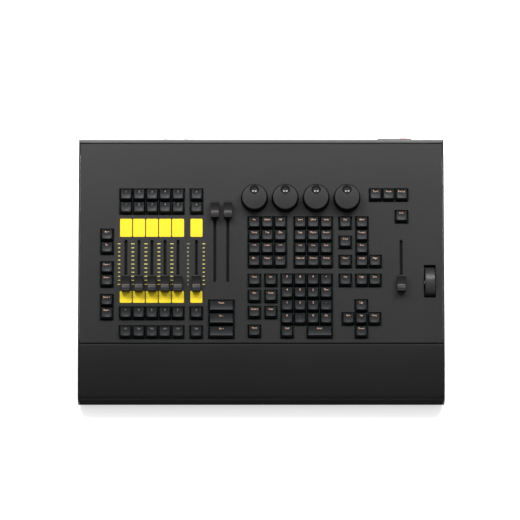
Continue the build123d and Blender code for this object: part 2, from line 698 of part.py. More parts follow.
def faders():
    """Every fader: a cap and lever as one moving piece pair, and a fixed track."""
    cap, lever = fader_cap(), fader_lever()
    tracks = {t: fader_track(t) for t in (SHORT_TRAVEL, LONG_TRAVEL)}
    for i, u in enumerate(EXECUTOR_U):
        node = f"executor_fader_{i + 1}"
        keep(node, on_panel(u, FADER_V, 0, cap), on_panel(u, FADER_V, 0, lever))
    for name, u in zip("ab", CROSSFADER_U):
        node = f"crossfader_{name}"
        keep(node, on_panel(u, CROSSFADER_V, 0, cap), on_panel(u, CROSSFADER_V, 0, lever))
    keep("master_fader", on_panel(MASTER_U, FADER_V, 0, cap))
    keep("master_fader", on_panel(MASTER_U, FADER_V, 0, lever))
    for u, v, travel in fader_slots():
        keep("fader_tracks", on_panel(u, v, 0, tracks[travel]))


# ---- encoders ----

ENCODER_BUSH_R, ENCODER_BUSH_TOP = 4.5, 5.2
ENCODER_BODY = (13.0, 12.0)
KNOB_RECESS_R, KNOB_RECESS_HIGH = 8.5, 6.5
NUT_RADIUS, NUT_HEIGHT = 6.6, 2.2


def encoder_knob():
    """A slightly conical knob with a finger dimple, bored for its shaft."""
    chamfer_height = 1.3
    outline = [
        (0, KNOB_LOW),
        (KNOB_BASE_R - 0.6, KNOB_LOW),
        (KNOB_BASE_R, KNOB_LOW + 0.6),
        (KNOB_TOP_R, KNOB_HIGH - chamfer_height),
        (KNOB_FACE_R, KNOB_HIGH),
        (0, KNOB_HIGH),
    ]
    knob = revolve(Plane.XZ * make_face(Polyline(*outline, close=True)), Axis.Z)
    knob -= rod(KNOB_RECESS_R, KNOB_LOW, KNOB_RECESS_HIGH)
    ring = rod(KNOB_BASE_R - 2.2, KNOB_LOW, KNOB_HIGH - 6.5)
    knob -= ring - rod(KNOB_RECESS_R + 1.8, KNOB_LOW, KNOB_HIGH - 6.5)
    knob -= rod(SHAFT_RADIUS + 0.02, KNOB_LOW, KNOB_HIGH - 5.0)
    sphere = (DIMPLE_RADIUS**2 + DIMPLE_DEPTH**2) / (2 * DIMPLE_DEPTH)
    dimple = Pos(0, DIMPLE_OFFSET, KNOB_HIGH + sphere - DIMPLE_DEPTH)
    return knob - dimple * Sphere(sphere)


def encoders():
    """Four knobs with their shafts, and the fixed encoders with their nuts."""
    knob = encoder_knob()
    shaft = rod(SHAFT_RADIUS, BOARD_TOP + 2.0, KNOB_HIGH - 5.2)
    bush_bore = rod(SHAFT_RADIUS + SHAFT_CLEARANCE, BOARD_TOP + 1.5, ENCODER_BUSH_TOP)
    body = slab(*ENCODER_BODY, BOARD_TOP, -4.5)
    body += rod(ENCODER_BUSH_R, -4.5, ENCODER_BUSH_TOP)
    body -= bush_bore
    nut = Pos(0, 0, 0.1) * extrude(RegularPolygon(NUT_RADIUS, 6), NUT_HEIGHT)
    nut -= rod(ENCODER_BUSH_R + 0.05, 0, NUT_HEIGHT + 1)
    for i, u in enumerate(ENCODER_U):
        node = f"encoder_knob_{i + 1}"
        keep(node, on_panel(u, ENCODER_V, 0, knob), on_panel(u, ENCODER_V, 0, shaft))
        keep("encoder_bodies", on_panel(u, ENCODER_V, 0, body), on_panel(u, ENCODER_V, 0, nut))


# ---- level wheel ----

AXLE_RADIUS, AXLE_HALF = 3.0, 12.6
CHEEK_OUT, CHEEK_SHEET = 9.6, 1.5


def level_wheel():
    """The thumb wheel on its axle, and the bracket that hangs it under the panel."""
    rim = Rot(0, 90, 0) * Cylinder(WHEEL_RADIUS, WHEEL_WIDTH)
    rim = fillet(rim.edges(), 0.9)
    for side in (-1, 1):
        web = Pos(side * (WHEEL_WIDTH / 2 - 1.5), 0, 0) * Rot(0, 90, 0)
        rim -= web * (Cylinder(WHEEL_RADIUS - 4.0, 3.0) - Cylinder(6.5, 3.0))
    groove = Cylinder(WHEEL_RADIUS + 1, 0.7) - Cylinder(WHEEL_RADIUS - 0.45, 0.7)
    for k in range(-3, 4):
        rim -= Pos(k * 1.8, 0, 0) * Rot(0, 90, 0) * groove
    rim -= Rot(0, 90, 0) * Cylinder(AXLE_RADIUS, WHEEL_WIDTH + 2)
    axle = Rot(0, 90, 0) * Cylinder(AXLE_RADIUS, 2 * AXLE_HALF)
    u, v, w = WHEEL_U + WHEEL_OFFSET, WHEEL_V, WHEEL_CENTRE_W
    keep("level_wheel", on_panel(u, v, w, rim), on_panel(u, v, w, axle))

    depth, length = 24.0, 30.0
    tab_low, tab_v = -PANEL_SHEET - CHEEK_SHEET, WHEEL_SLOT[1] / 2 + 4.0
    bracket = slab(2 * CHEEK_OUT, 7, tab_low, -PANEL_SHEET, 0, tab_v)
    bracket += slab(2 * CHEEK_OUT, 7, tab_low, -PANEL_SHEET, 0, -tab_v)
    for side in (-1, 1):
        x = side * CHEEK_OUT
        bracket += slab(CHEEK_SHEET, 2 * tab_v + 7, -PANEL_SHEET - 9, -PANEL_SHEET, x)
        bracket += slab(CHEEK_SHEET, length, -PANEL_SHEET - depth, -PANEL_SHEET, x)
        bracket -= Pos(x, 0, w) * Rot(0, 90, 0) * Cylinder(AXLE_RADIUS + SHAFT_CLEARANCE, 4)
    sensor_u = CHEEK_OUT + CHEEK_SHEET / 2
    sensor = slab(2.0, 14, w - 9, w + 7, -sensor_u - 1.0)
    sensor -= Pos(-sensor_u, 0, w) * Rot(0, 90, 0) * Cylinder(AXLE_RADIUS + 0.2, 6)
    keep("wheel_bracket", on_panel(u, v, 0, bracket))
    keep("panel_boards", on_panel(u, v, 0, sensor))


# ---- circuit boards ----

# boards under the faceplate: u range, v range
PANEL_BOARDS = [
    ((-240.0, -36.0), (4.0, 234.0)),
    ((-28.0, 181.0), (3.0, 191.0)),
    ((-34.0, 221.0), (198.5, 234.0)),
    ((184.0, 226.0), (70.0, 197.5)),
]
STANDOFF_PLACES = [
    (-236.0, 230.0), (-236.0, 8.0), (-40.0, 230.0), (-81.0, 8.0),
    (-24.3, 187.0), (42.5, 187.0), (177.0, 187.0), (-24.3, 8.0), (56.6, 12.0), (177.0, 8.0),
    (-30.0, 230.0), (58.0, 230.0), (149.0, 202.0), (217.5, 202.5),
    (188.0, 193.5), (222.0, 74.0), (188.0, 74.0),
]
MAIN_BOARD_X, MAIN_BOARD_Y = (-205.0, 26.0), (78.0, 180.0)
MAIN_STANDOFFS = [(-200.0, 83.0), (-200.0, 160.0), (-90.0, 83.0), (21.0, 83.0), (21.0, 160.0)]
CHIPS = [  # centre x, centre y, size x, size y, height
    (-120.0, 110.0, 24.0, 24.0, 2.6),
    (-160.0, 115.0, 14.0, 20.0, 2.2),
    (-75.0, 112.0, 12.0, 12.0, 1.8),
    (-40.0, 108.0, 10.0, 16.0, 1.8),
    (0.0, 112.0, 14.0, 14.0, 2.2),
    (-160.0, 140.0, 16.0, 10.0, 2.0),
]
CAPACITORS = [(-185.0, 95.0), (-185.0, 110.0), (-185.0, 125.0), (10.0, 95.0)]


def boards():
    """The hanging boards, the main board, its parts, and their standoffs."""
    for u, v in PANEL_BOARDS:
        board = slab_between(u, v, (BOARD_TOP - BOARD_SHEET, BOARD_TOP))
        keep("panel_boards", PANEL * board)
    pillar = extrude(RegularPolygon(2.6, 6), -PANEL_SHEET - BOARD_TOP)
    for u, v in STANDOFF_PLACES:
        keep("board_standoffs", on_panel(u, v, BOARD_TOP, pillar))
    main = slab_between(MAIN_BOARD_X, MAIN_BOARD_Y, (MAIN_BOARD_LOW, MAIN_BOARD_TOP))
    keep("main_board", main)
    for x, y in MAIN_STANDOFFS:
        post = extrude(RegularPolygon(2.6, 6), MAIN_BOARD_LOW - TRAY_TOP)
        keep("board_standoffs", Pos(x, y, TRAY_TOP) * post)
    for x, y, sx, sy, high in CHIPS:
        keep("board_components", Pos(x, y, MAIN_BOARD_TOP + high / 2) * Box(sx, sy, high))
    for x, y in CAPACITORS:
        keep("board_components", Pos(x, y, MAIN_BOARD_TOP + 6) * Cylinder(5.0, 12.0))


# ---- power ----

SUPPLY_X, SUPPLY_Y, SUPPLY_HEIGHT = (118.0, 228.0), (62.0, 132.0), 30.0
INLET_BODY = (47.0, 27.0)
INLET_DEPTH = 26.0
PLUG_WELL = (24.6, 17.0, 17.0)
PLUG_X = INLET_X - 8.5
ROCKER_WELL = (11.8, 22.0, 14.0)
ROCKER_SIZE = (10.6, 20.0)
ROCKER_PIVOT_IN = 5.0  # how far inside the flange's face the pivot is
ROCKER_THROW = 16.0  # degrees between off and on
BLADES = ((-7.0, -2.0), (7.0, -2.0), (0.0, 2.0))


def mains_inlet():
    """The mains inlet: flange, body, plug well and rocker well, with its three blades."""
    face = REAR_Y + INLET_FLANGE[2]
    flange = slab_between((-25.0, 25.0), (-15.5, 15.5), (0.0, INLET_FLANGE[2]))
    flange = fillet(flange.edges().filter_by(Axis.Z), 2.0)
    flange = fillet(flange.faces().sort_by(Axis.Z)[-1].edges(), 0.8)
    body = flange + slab(INLET_BODY[0], INLET_BODY[1], -INLET_DEPTH, 0)
    top = INLET_FLANGE[2]
    well = rounded_plate(PLUG_WELL[0], PLUG_WELL[1], 2.0, top - PLUG_WELL[2], top)
    body -= Pos(PLUG_X - INLET_X, 0, 0) * well
    body -= slab(ROCKER_WELL[0], ROCKER_WELL[1], top - ROCKER_WELL[2], top, ROCKER_X - INLET_X)
    place = Plane(
        origin=(INLET_X, face - top, INLET_Z), x_dir=(1, 0, 0), z_dir=(0, 1, 0)
    )
    # x_dir (1, 0, 0) with z_dir (0, 1, 0) makes the local y axis point down
    keep("mains_inlet", place * body)
    for x, up in BLADES:
        blade = slab(2.0, 4.0, top - PLUG_WELL[2], top - 3.0, PLUG_X - INLET_X + x, -up)
        keep("mains_wiring", place * blade)
        tail = slab(2.0, 4.0, -INLET_DEPTH - 6.0, -INLET_DEPTH, PLUG_X - INLET_X + x, -up)
        keep("mains_wiring", place * tail)


def power_rocker():
    """The rocker, tipped to its off side: two faces that meet at a shallow angle."""
    half = ROCKER_SIZE[1] / 2
    reach = ROCKER_PIVOT_IN + 1.6
    outline = [
        (-half, reach),
        (0.0, reach - 1.9),
        (half, reach),
        (half - 1.4, 0.6),
        (3.0, -2.6),
        (-3.0, -2.6),
        (-half + 1.4, 0.6),
    ]
    face = Plane.YZ * make_face(Polyline(*outline, close=True))
    rocker = extrude(face, ROCKER_SIZE[0] / 2, both=True)
    rocker = fillet(rocker.edges().filter_by(Axis.X), 0.5)
    # local z points out of the rear panel, and local y up
    place = Plane(
        origin=(ROCKER_X, REAR_Y + INLET_FLANGE[2] - ROCKER_PIVOT_IN, INLET_Z),
        x_dir=(-1, 0, 0),
        z_dir=(0, 1, 0),
    )
    keep("power_rocker", place * (Rot(ROCKER_THROW / 2, 0, 0) * rocker))


def power_supply():
    """The caged power supply on the tray."""
    height = (TRAY_TOP, TRAY_TOP + SUPPLY_HEIGHT)
    cage = slab_between(SUPPLY_X, SUPPLY_Y, height)
    cage = fillet(cage.edges().filter_by(Axis.Z), 2.0)
    groove_y = (SUPPLY_Y[0] + 12.0, SUPPLY_Y[1] - 12.0)
    for i in range(10):
        x = SUPPLY_X[0] + 14.0 + 9.0 * i
        cage -= slab_between((x, x + 3.0), groove_y, (height[1] - 1.0, height[1]))
    keep("power_supply", cage)


# ---- data sockets ----

DMX_FLANGE = (26.0, 31.0, 2.2)
DMX_BARREL_R, DMX_SHELL_BORE_R, DMX_INSERT_R = 11.8, 9.75, 7.6
DMX_DEPTH, DMX_WELL = 20.0, 13.0
DMX_SCREW = (9.5, 12.0)
LATCH = (6.6, 3.6, 5.0)
MIDI_SHELL_R, MIDI_WELL_R, MIDI_INSERT_R = 9.0, 7.6, 6.0
MIDI_STAND_OFF = 1.2
USB_SHELL, USB_WELL, USB_TONGUE = (12.2, 11.2), (9.4, 8.6), (5.4, 3.2)
NETWORK_SHELL, NETWORK_WELL = (16.0, 13.6), (12.0, 8.2, 12.5)
SOCKET_OUT = 0.8
MIDI_Z = MAIN_BOARD_TOP + MIDI_SHELL_R
USB_Z = MAIN_BOARD_TOP + USB_SHELL[1] / 2
NETWORK_Z = MAIN_BOARD_TOP + NETWORK_SHELL[1] / 2


def rear_place(x, z, out=0.0):
    """A plane on the rear panel's outer face, local x to +X, local y down, local z outwards."""
    return Plane(origin=(x, REAR_Y + out, z), x_dir=(1, 0, 0), z_dir=(0, 1, 0))


def dmx_screw_places():
    """The two corner screws of each DMX socket's flange."""
    dx, dz = DMX_SCREW
    return [
        facing(x + s * dx, REAR_Y, DMX_Z + s * dz, (0, 1, 0)) for x in DMX_X for s in (-1, 1)
    ]


def pin_circle(count, radius, span, start):
    """Places of contacts on an arc."""
    for i in range(count):
        angle = math.radians(start + span * i / (count - 1))
        yield radius * math.cos(angle), radius * math.sin(angle)


def dmx_sockets():
    """Two five-way round sockets with their latch tabs."""
    top = DMX_FLANGE[2]
    flange = rounded_plate(DMX_FLANGE[0], DMX_FLANGE[1], 2.0, 0, top)
    body = fillet(flange.faces().sort_by(Axis.Z)[-1].edges(), 0.5)
    body += rod(DMX_BARREL_R, -DMX_DEPTH, 0)
    body -= rod(DMX_SHELL_BORE_R, top - DMX_WELL, top)
    for s in (-1, 1):
        body -= rod(SCREW_HOLE, -1, top, s * DMX_SCREW[0], -s * DMX_SCREW[1])
    insert = rod(DMX_INSERT_R, top - DMX_WELL, top - 0.8)
    for x, y in pin_circle(5, 4.9, 240.0, 150.0):
        insert -= rod(1.25, top - 9.0, top, x, y)
    latch_y = -(DMX_SHELL_BORE_R + LATCH[1] / 2 + 0.2)
    latch = slab(LATCH[0], LATCH[1], top, LATCH[2], 0, latch_y)
    latch = fillet(latch.faces().sort_by(Axis.Z)[-1].edges(), 0.6)
    for x in DMX_X:
        place = rear_place(x, DMX_Z)
        keep("dmx_sockets", place * body, place * insert)
        keep("dmx_sockets", place * latch)


def midi_sockets():
    """Two five-pin round sockets."""
    top = MIDI_STAND_OFF
    body = rod(MIDI_SHELL_R, -4.0, top)
    body += slab(18.0, 18.0, -16.0, -2.0)
    body -= rod(MIDI_WELL_R, top - 9.0, top)
    insert = rod(MIDI_INSERT_R, top - 9.0, top - 1.0)
    for x, y in pin_circle(5, 4.2, 180.0, 180.0):
        insert -= rod(0.8, top - 7.0, top, x, y)
    for x in MIDI_X:
        place = rear_place(x, MIDI_Z)
        keep("midi_sockets", place * body, place * insert)


def data_sockets():
    """The square USB socket and the network socket."""
    usb = slab(USB_SHELL[0], USB_SHELL[1], -14.0, SOCKET_OUT)
    usb -= slab(USB_WELL[0], USB_WELL[1], -9.0, SOCKET_OUT)
    tongue = slab(USB_TONGUE[0], USB_TONGUE[1], -9.0, SOCKET_OUT - 0.6)
    keep("data_sockets", rear_place(USB_X, USB_Z) * usb, rear_place(USB_X, USB_Z) * tongue)
    network = slab(NETWORK_SHELL[0], NETWORK_SHELL[1], -16.0, SOCKET_OUT)
    network -= slab(NETWORK_WELL[0], NETWORK_WELL[1], SOCKET_OUT - NETWORK_WELL[2], SOCKET_OUT)
    network -= slab(6.4, 4.4, SOCKET_OUT - NETWORK_WELL[2], SOCKET_OUT, 0, 4.0)
    keep("data_sockets", rear_place(NETWORK_X, NETWORK_Z) * network)


# ---- wiring inside the case ----

RIBBON_SHEET, RIBBON_BEND, RIBBON_RISE, RIBBON_GAP = 1.0, 3.0, 1.5, 0.15
HEADER_HEIGHT = 6.0


def ribbon(x, board_v, main_y, width):
    """A flat cable from under a panel board, across and down to the main board."""
    header = Box(width + 4, 6, HEADER_HEIGHT)
    w = BOARD_TOP - BOARD_SHEET - HEADER_HEIGHT / 2
    keep("board_components", on_panel(x, board_v, w, header))
    keep("board_components", Pos(x, main_y, MAIN_BOARD_TOP + HEADER_HEIGHT / 2) * header)
    y, z = panel_point(board_v, w - HEADER_HEIGHT / 2)
    z -= RIBBON_GAP
    drop = z - MAIN_BOARD_TOP - HEADER_HEIGHT
    turn = math.copysign(90.0, main_y - y)
    moves = [
        ("run", RIBBON_RISE),
        ("bend", RIBBON_BEND, turn),
        ("run", abs(main_y - y) - 2 * RIBBON_BEND),
        ("bend", RIBBON_BEND, -turn),
        ("run", drop - RIBBON_RISE - 2 * RIBBON_BEND),
    ]
    keep("ribbon_cables", sheet((y, z), 270.0, RIBBON_SHEET, moves, width, x))


def mains_wires():
    """Three wires from the inlet's tails to the power supply."""
    tail_y = REAR_Y - INLET_DEPTH - 6.0
    supply_y = SUPPLY_Y[1]
    for (x, up), end_x in zip(BLADES, (170.0, 186.0, 178.0)):
        start = (PLUG_X + x, tail_y, INLET_Z + up)
        knee = (PLUG_X + x, tail_y - 7.0, INLET_Z + up)
        down = (end_x, supply_y + 7.0, TRAY_TOP + 14.0)
        end = (end_x, supply_y, TRAY_TOP + 14.0)
        path = FilletPolyline(start, knee, down, end, radius=3.0)
        wire = sweep(Plane(origin=start, z_dir=path % 0) * Circle(1.1), path)
        keep("mains_wiring", wire)


def ribbons():
    """Flat cables to the hanging boards."""
    ribbon(-160.0, 172.0, 96.0, 24.0)
    ribbon(-20.0, 160.0, 92.0, 24.0)
    ribbon(-60.0, 222.0, 128.0, 16.0)


def build():
    """Makes every piece and writes one file per node."""
    keep("control_panel", control_panel())
    keep("left_side_plate", side_plate(-1))
    keep("right_side_plate", side_plate(1))
    keep("wrist_rest", wrist_rest())
    keep("rear_panel", rear_panel())
    keep("base_tray", base_tray())
    frame_bars()
    case_screws()
    rubber_feet()
    keep("fader_foil", fader_foil())
    label_fields()
    keys()
    faders()
    encoders()
    level_wheel()
    boards()
    mains_inlet()
    power_rocker()
    power_supply()
    dmx_sockets()
    midi_sockets()
    data_sockets()
    ribbons()
    mains_wires()
    os.makedirs("parts", exist_ok=True)
    for node, solids in _parts.items():
        export_step(Compound(solids), f"parts/{node}.step")


build()
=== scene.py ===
"""Lighting control desk: every visible piece and finish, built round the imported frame.

Run as a script it registers the add-on's classes, builds each group of pieces in order
and leaves a lit stage. Lengths are metres; sizes a user would change are millimetres in
the property groups, and places are read from the frame.
"""

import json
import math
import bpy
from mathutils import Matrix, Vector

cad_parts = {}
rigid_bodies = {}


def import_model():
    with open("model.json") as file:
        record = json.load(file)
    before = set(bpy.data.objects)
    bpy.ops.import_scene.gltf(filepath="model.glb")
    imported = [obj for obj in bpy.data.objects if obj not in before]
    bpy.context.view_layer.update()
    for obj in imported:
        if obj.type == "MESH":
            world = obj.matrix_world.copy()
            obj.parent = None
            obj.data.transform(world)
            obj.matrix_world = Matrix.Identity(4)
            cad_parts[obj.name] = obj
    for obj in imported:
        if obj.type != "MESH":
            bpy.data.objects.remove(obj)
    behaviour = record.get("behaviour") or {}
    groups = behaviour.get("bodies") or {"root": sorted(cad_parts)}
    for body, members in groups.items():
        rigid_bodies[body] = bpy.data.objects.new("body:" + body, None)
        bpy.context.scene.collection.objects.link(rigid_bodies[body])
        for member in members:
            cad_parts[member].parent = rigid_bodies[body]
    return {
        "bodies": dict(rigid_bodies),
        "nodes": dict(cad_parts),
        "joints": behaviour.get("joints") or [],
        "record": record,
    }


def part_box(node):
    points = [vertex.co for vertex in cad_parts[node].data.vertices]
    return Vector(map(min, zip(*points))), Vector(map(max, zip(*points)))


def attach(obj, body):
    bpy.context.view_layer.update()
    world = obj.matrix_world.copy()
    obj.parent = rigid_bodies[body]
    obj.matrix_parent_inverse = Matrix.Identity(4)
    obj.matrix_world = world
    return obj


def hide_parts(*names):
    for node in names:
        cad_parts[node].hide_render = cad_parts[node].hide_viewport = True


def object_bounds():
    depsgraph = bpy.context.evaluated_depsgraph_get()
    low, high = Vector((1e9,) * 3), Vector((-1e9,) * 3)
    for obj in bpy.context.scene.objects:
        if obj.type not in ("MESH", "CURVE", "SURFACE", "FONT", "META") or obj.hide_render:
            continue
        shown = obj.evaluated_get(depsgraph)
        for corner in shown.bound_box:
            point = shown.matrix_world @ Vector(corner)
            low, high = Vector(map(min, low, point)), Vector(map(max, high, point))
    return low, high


bl_info = {
    "name": "Lighting Control Desk",
    "version": (1, 0, 0),
    "blender": (4, 5, 0),
    "location": "View3D > Sidebar > Lighting Desk",
    "description": "Builds the keys, faders, knobs, wheel, case and stage of a lighting desk",
    "category": "Object",
}

import bmesh
import bpy
from bpy.props import FloatProperty, FloatVectorProperty, IntProperty, PointerProperty
from mathutils import Matrix, Vector

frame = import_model()
CAD_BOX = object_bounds()
NODES = frame["nodes"]
BODY_OF = {n: b for b, ns in frame["record"]["behaviour"]["bodies"].items() for n in ns}
CASE = "case"
MM = 0.001
X = Vector((1, 0, 0))


# ---------------------------------------------------------------- places from the frame


def joint(name):
    """A joint of the frame by its name."""
    return next(j for j in frame["joints"] if j["name"] == name)


def panel_matrix():
    """The panel's own frame: X right, Y up the slope, Z out of it, and 0 at the front seam."""
    turn = joint("encoder_knob_1_turn")
    normal = Vector(turn["axis"]).normalized()
    slope = normal.cross(X)
    pivot = Vector(turn["pos_m"])
    seam_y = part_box("control_panel")[0].y
    origin = pivot + slope * ((seam_y - pivot.y) / slope.y)
    origin.x = 0.0
    matrix = Matrix((X, slope, normal)).transposed().to_4x4()
    matrix.translation = origin
    return matrix


PANEL = panel_matrix()
TILT = math.atan2(-PANEL.col[2][1], PANEL.col[2][2])
TO_PANEL = PANEL.inverted()


def islands(node):
    """(low, high) in the panel's frame, in mm, of each loose piece of a CAD node."""
    mesh = bmesh.new()
    mesh.from_mesh(NODES[node].data)
    bmesh.ops.remove_doubles(mesh, verts=mesh.verts, dist=1e-6)
    seen, boxes = set(), []
    for first in mesh.verts:
        if first in seen:
            continue
        seen.add(first)
        stack, points = [first], []
        while stack:
            vert = stack.pop()
            points.append(TO_PANEL @ vert.co / MM)
            for edge in vert.link_edges:
                other = edge.other_vert(vert)
                if other not in seen:
                    seen.add(other)
                    stack.append(other)
        boxes.append(
            tuple(Vector(f(p[i] for p in points) for i in range(3)) for f in (min, max))
        )
    mesh.free()
    return boxes


def middle(box):
    """(u, v) of a box's middle."""
    return (box[0].x + box[1].x) / 2, (box[0].y + box[1].y) / 2


def cap_boxes(node):
    """The boxes of a node's key caps, without their stems."""
    return [b for b in islands(node) if b[1].x - b[0].x > 15.0]


def cap_places(node):
    """(u, v, width, top) in mm of each key cap in a node, from the rear row to the front."""
    places = [(*middle(b), b[1].x - b[0].x, b[1].z) for b in cap_boxes(node)]
    return sorted(places, key=lambda p: (-round(p[1]), p[0]))


def top_box(node):
    """The box of a node's highest piece: a fader's cap, or the wheel's rim."""
    return max(islands(node), key=lambda b: b[1].z)


KEY_NODES = sorted(n for n in NODES if n.endswith(("_key", "_keys")) or "_keys_row_" in n)
FADER_NODES = [n for n in sorted(NODES) if "fader" in n and n in frame["bodies"]]
KNOB_NODES = sorted(n for n in NODES if n.startswith("encoder_knob_"))


# ---------------------------------------------------------------- sizes a user would change


def sized(name, text, default, low, high):
    """A length in mm for the sidebar."""
    text += ", in mm"
    return FloatProperty(name=name, description=text, default=default, min=low, max=high)


def coloured(name, text, default):
    """A colour for the sidebar."""
    return FloatVectorProperty(
        name=name, description="Colour of " + text, subtype="COLOR", default=default, min=0, max=1
    )


class DeskKeys(bpy.types.PropertyGroup):
    """Key cap shape."""

    top_width: sized("Top width", "Width of a cap's top face", 14.4, 8, 17)
    top_depth: sized("Top depth", "Depth of a cap's top face", 13.4, 8, 17)
    dish: sized("Dish", "How deep the finger dish is", 0.75, 0, 1.5)
    legend_size: sized("Legend size", "Height of the printed legends", 3.5, 1, 5)
    legend_colour: coloured("Legend colour", "the printed legends", (0.56, 0.33, 0.22))


class DeskFaders(bpy.types.PropertyGroup):
    """Fader scales and write-on fields."""

    mark_count: IntProperty(
        name="Marks", description="Scale marks beside a fader", default=11, min=2, max=21
    )
    mark_length: sized("Mark length", "Length of a scale mark", 5.0, 1, 8)
    label_colour: coloured("Label colour", "the write-on fields", (0.60, 0.45, 0.010))


class DeskCase(bpy.types.PropertyGroup):
    """Case finish."""

    paint: coloured("Paint", "the powder coat", (0.0085, 0.0084, 0.0083))
    grain: sized("Grain", "Size of the powder coat's grain", 0.9, 0.2, 3)


class DeskStage(bpy.types.PropertyGroup):
    """Camera and lights."""

    aim: FloatVectorProperty(
        name="Aim", description="Where the camera looks: right, up the panel and out of it",
        subtype="TRANSLATION", default=(-0.0018, 0.1224, 0.0),
    )
    distance: FloatProperty(
        name="Distance", description="Camera to panel", subtype="DISTANCE",
        default=7.0, min=0.5, max=20,
    )
    view_width: FloatProperty(
        name="View width", description="Width of the view at the panel", subtype="DISTANCE",
        default=0.7614, min=0.1, max=5,
    )
    dome: FloatProperty(
        name="Dome", description="Strength of the ceiling's light", default=1.05, min=0, max=5
    )
    lamp_power: FloatProperty(
        name="Lamp Power", description="Each softbox's power in watts", default=15.0, min=0, max=500
    )
    lean: FloatProperty(
        name="Lean", description="Between the line of sight and the panel's normal",
        subtype="ANGLE", default=math.radians(9.2), min=0, max=1.5,
    )


# ---------------------------------------------------------------- meshes


def new_object(name, mesh):
    """An object at the origin that holds a mesh."""
    piece = bpy.data.objects.new(name, mesh)
    bpy.context.scene.collection.objects.link(piece)
    return piece


def rounded_ring(width, depth, corner, z, shift=0.0, steps=4, sides=3):
    """Anticlockwise points of a rounded rectangle at height z, with more along its sides."""
    points = []
    corner = max(min(corner, width / 2 - 1e-4, depth / 2 - 1e-4), 1e-4)
    for quarter in range(4):
        sx, sy = ((1, 1), (-1, 1), (-1, -1), (1, -1))[quarter]
        cx, cy = sx * (width / 2 - corner), sy * (depth / 2 - corner)
        for k in range(steps + 1):
            angle = math.pi / 2 * (quarter + k / steps)
            points.append(
                Vector((cx + corner * math.cos(angle), cy + corner * math.sin(angle) + shift, z))
            )
        nx, ny = ((-1, 1), (-1, -1), (1, -1), (1, 1))[quarter]
        start = points[-1]
        end = Vector((nx * (width / 2 - corner), ny * (depth / 2 - corner) + shift, z))
        end += Vector((0, corner, 0)) * ny if quarter % 2 == 0 else Vector((corner, 0, 0)) * nx
        for k in range(1, sides + 1):
            points.append(start.lerp(end, k / (sides + 1)))
    return points


def lofted(name, rings):
    """A closed skin over rings of equal length, with a fan at each end."""
    mesh = bmesh.new()
    rows = [[mesh.verts.new(p) for p in ring] for ring in rings]
    count = len(rows[0])
    for low, high in zip(rows, rows[1:]):
        for i in range(count):
            j = (i + 1) % count
            mesh.faces.new((low[i], low[j], high[j], high[i]))
    for row, flip in ((rows[0], True), (rows[-1], False)):
        centre = mesh.verts.new(sum((v.co for v in row), Vector()) / count)
        for i in range(count):
            j = (i + 1) % count
            mesh.faces.new((row[j], row[i], centre) if flip else (row[i], row[j], centre))
    for face in mesh.faces:
        face.smooth = True
    data = bpy.data.meshes.new(name)
    mesh.normal_update()
    mesh.to_mesh(data)
    mesh.free()
    return data


def turned(name, profile, segments=96):
    """A closed solid of revolution about Z from (radius, z) points, whose ends are on the axis."""
    rings = []
    for radius, z in profile:
        rings.append(
            [
                Vector((radius * math.cos(a), radius * math.sin(a), z))
                for a in (2 * math.pi * i / segments for i in range(segments))
            ]
        )
    return lofted(name, rings)


def rounded_profile(corners, steps=4):
    """A profile of (x, y, radius) corners with arcs in place of its corners."""
    points = []
    for i, (x, y, radius) in enumerate(corners):
        here = Vector((x, y))
        if radius <= 0 or i in (0, len(corners) - 1):
            points.append((x, y))
            continue
        before = Vector(corners[i - 1][:2]) - here
        after = Vector(corners[i + 1][:2]) - here
        half = before.angle(after) / 2
        reach = min(radius / math.tan(half), before.length * 0.49, after.length * 0.49)
        start, end = here + before.normalized() * reach, here + after.normalized() * reach
        for k in range(steps + 1):
            t = k / steps
            p = start.lerp(here, t).lerp(here.lerp(end, t), t)
            points.append((p.x, p.y))
    return points


def sharp_by_angle(mesh, degrees=35.0):
    """Marks the edges that turn by more than an angle as sharp, and shades the rest smooth."""
    work = bmesh.new()
    work.from_mesh(mesh)
    for edge in work.edges:
        if len(edge.link_faces) == 2:
            edge.smooth = edge.calc_face_angle(0.0) < math.radians(degrees)
    for face in work.faces:
        face.smooth = True
    work.to_mesh(mesh)
    work.free()


def plain_copy(node, name):
    """A CAD node's mesh with its loose triangles merged, and smooth except at its edges."""
    mesh = NODES[node].data.copy()
    mesh.name = name
    work = bmesh.new()
    work.from_mesh(mesh)
    bmesh.ops.remove_doubles(work, verts=work.verts, dist=1e-6)
    work.to_mesh(mesh)
    work.free()
    if "custom_normal" in mesh.attributes:
        mesh.attributes.remove(mesh.attributes["custom_normal"])
    sharp_by_angle(mesh, 24.0)
    return mesh


def finish(piece, body, node=None, slot=None):
    """Rides a piece on its body, and hides a CAD node."""
    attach(piece, body)
    if node:
        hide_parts(node)
        slot = slot or SLOTS[node]
    return piece


SLOTS = {s["node"]: s["material_slot"] for s in frame["record"]["subparts"]}


# ---------------------------------------------------------------- geometry node trees


def socket_id(tree, label):
    """The identifier of a tree's input."""
    return next(
        s.identifier for s in tree.interface.items_tree if s.in_out == "INPUT" and s.name == label
    )


def wired(tree, *runs):
    """Joins (node, output, node, input) runs."""
    for source, output, target, into in runs:
        tree.links.new(source.outputs[output], target.inputs[into])


def start_tree(name, *inputs):
    """A new geometry tree with its named sockets and its two end nodes."""
    tree = bpy.data.node_groups.new(name, "GeometryNodeTree")
    tree.interface.new_socket("Geometry", in_out="OUTPUT", socket_type="NodeSocketGeometry")
    for label, kind in (("Geometry", "Geometry"), ("Material", "Material"), *inputs):
        tree.interface.new_socket(label, in_out="INPUT", socket_type="NodeSocket" + kind)
    return tree, tree.nodes.new("NodeGroupInput"), tree.nodes.new("NodeGroupOutput")


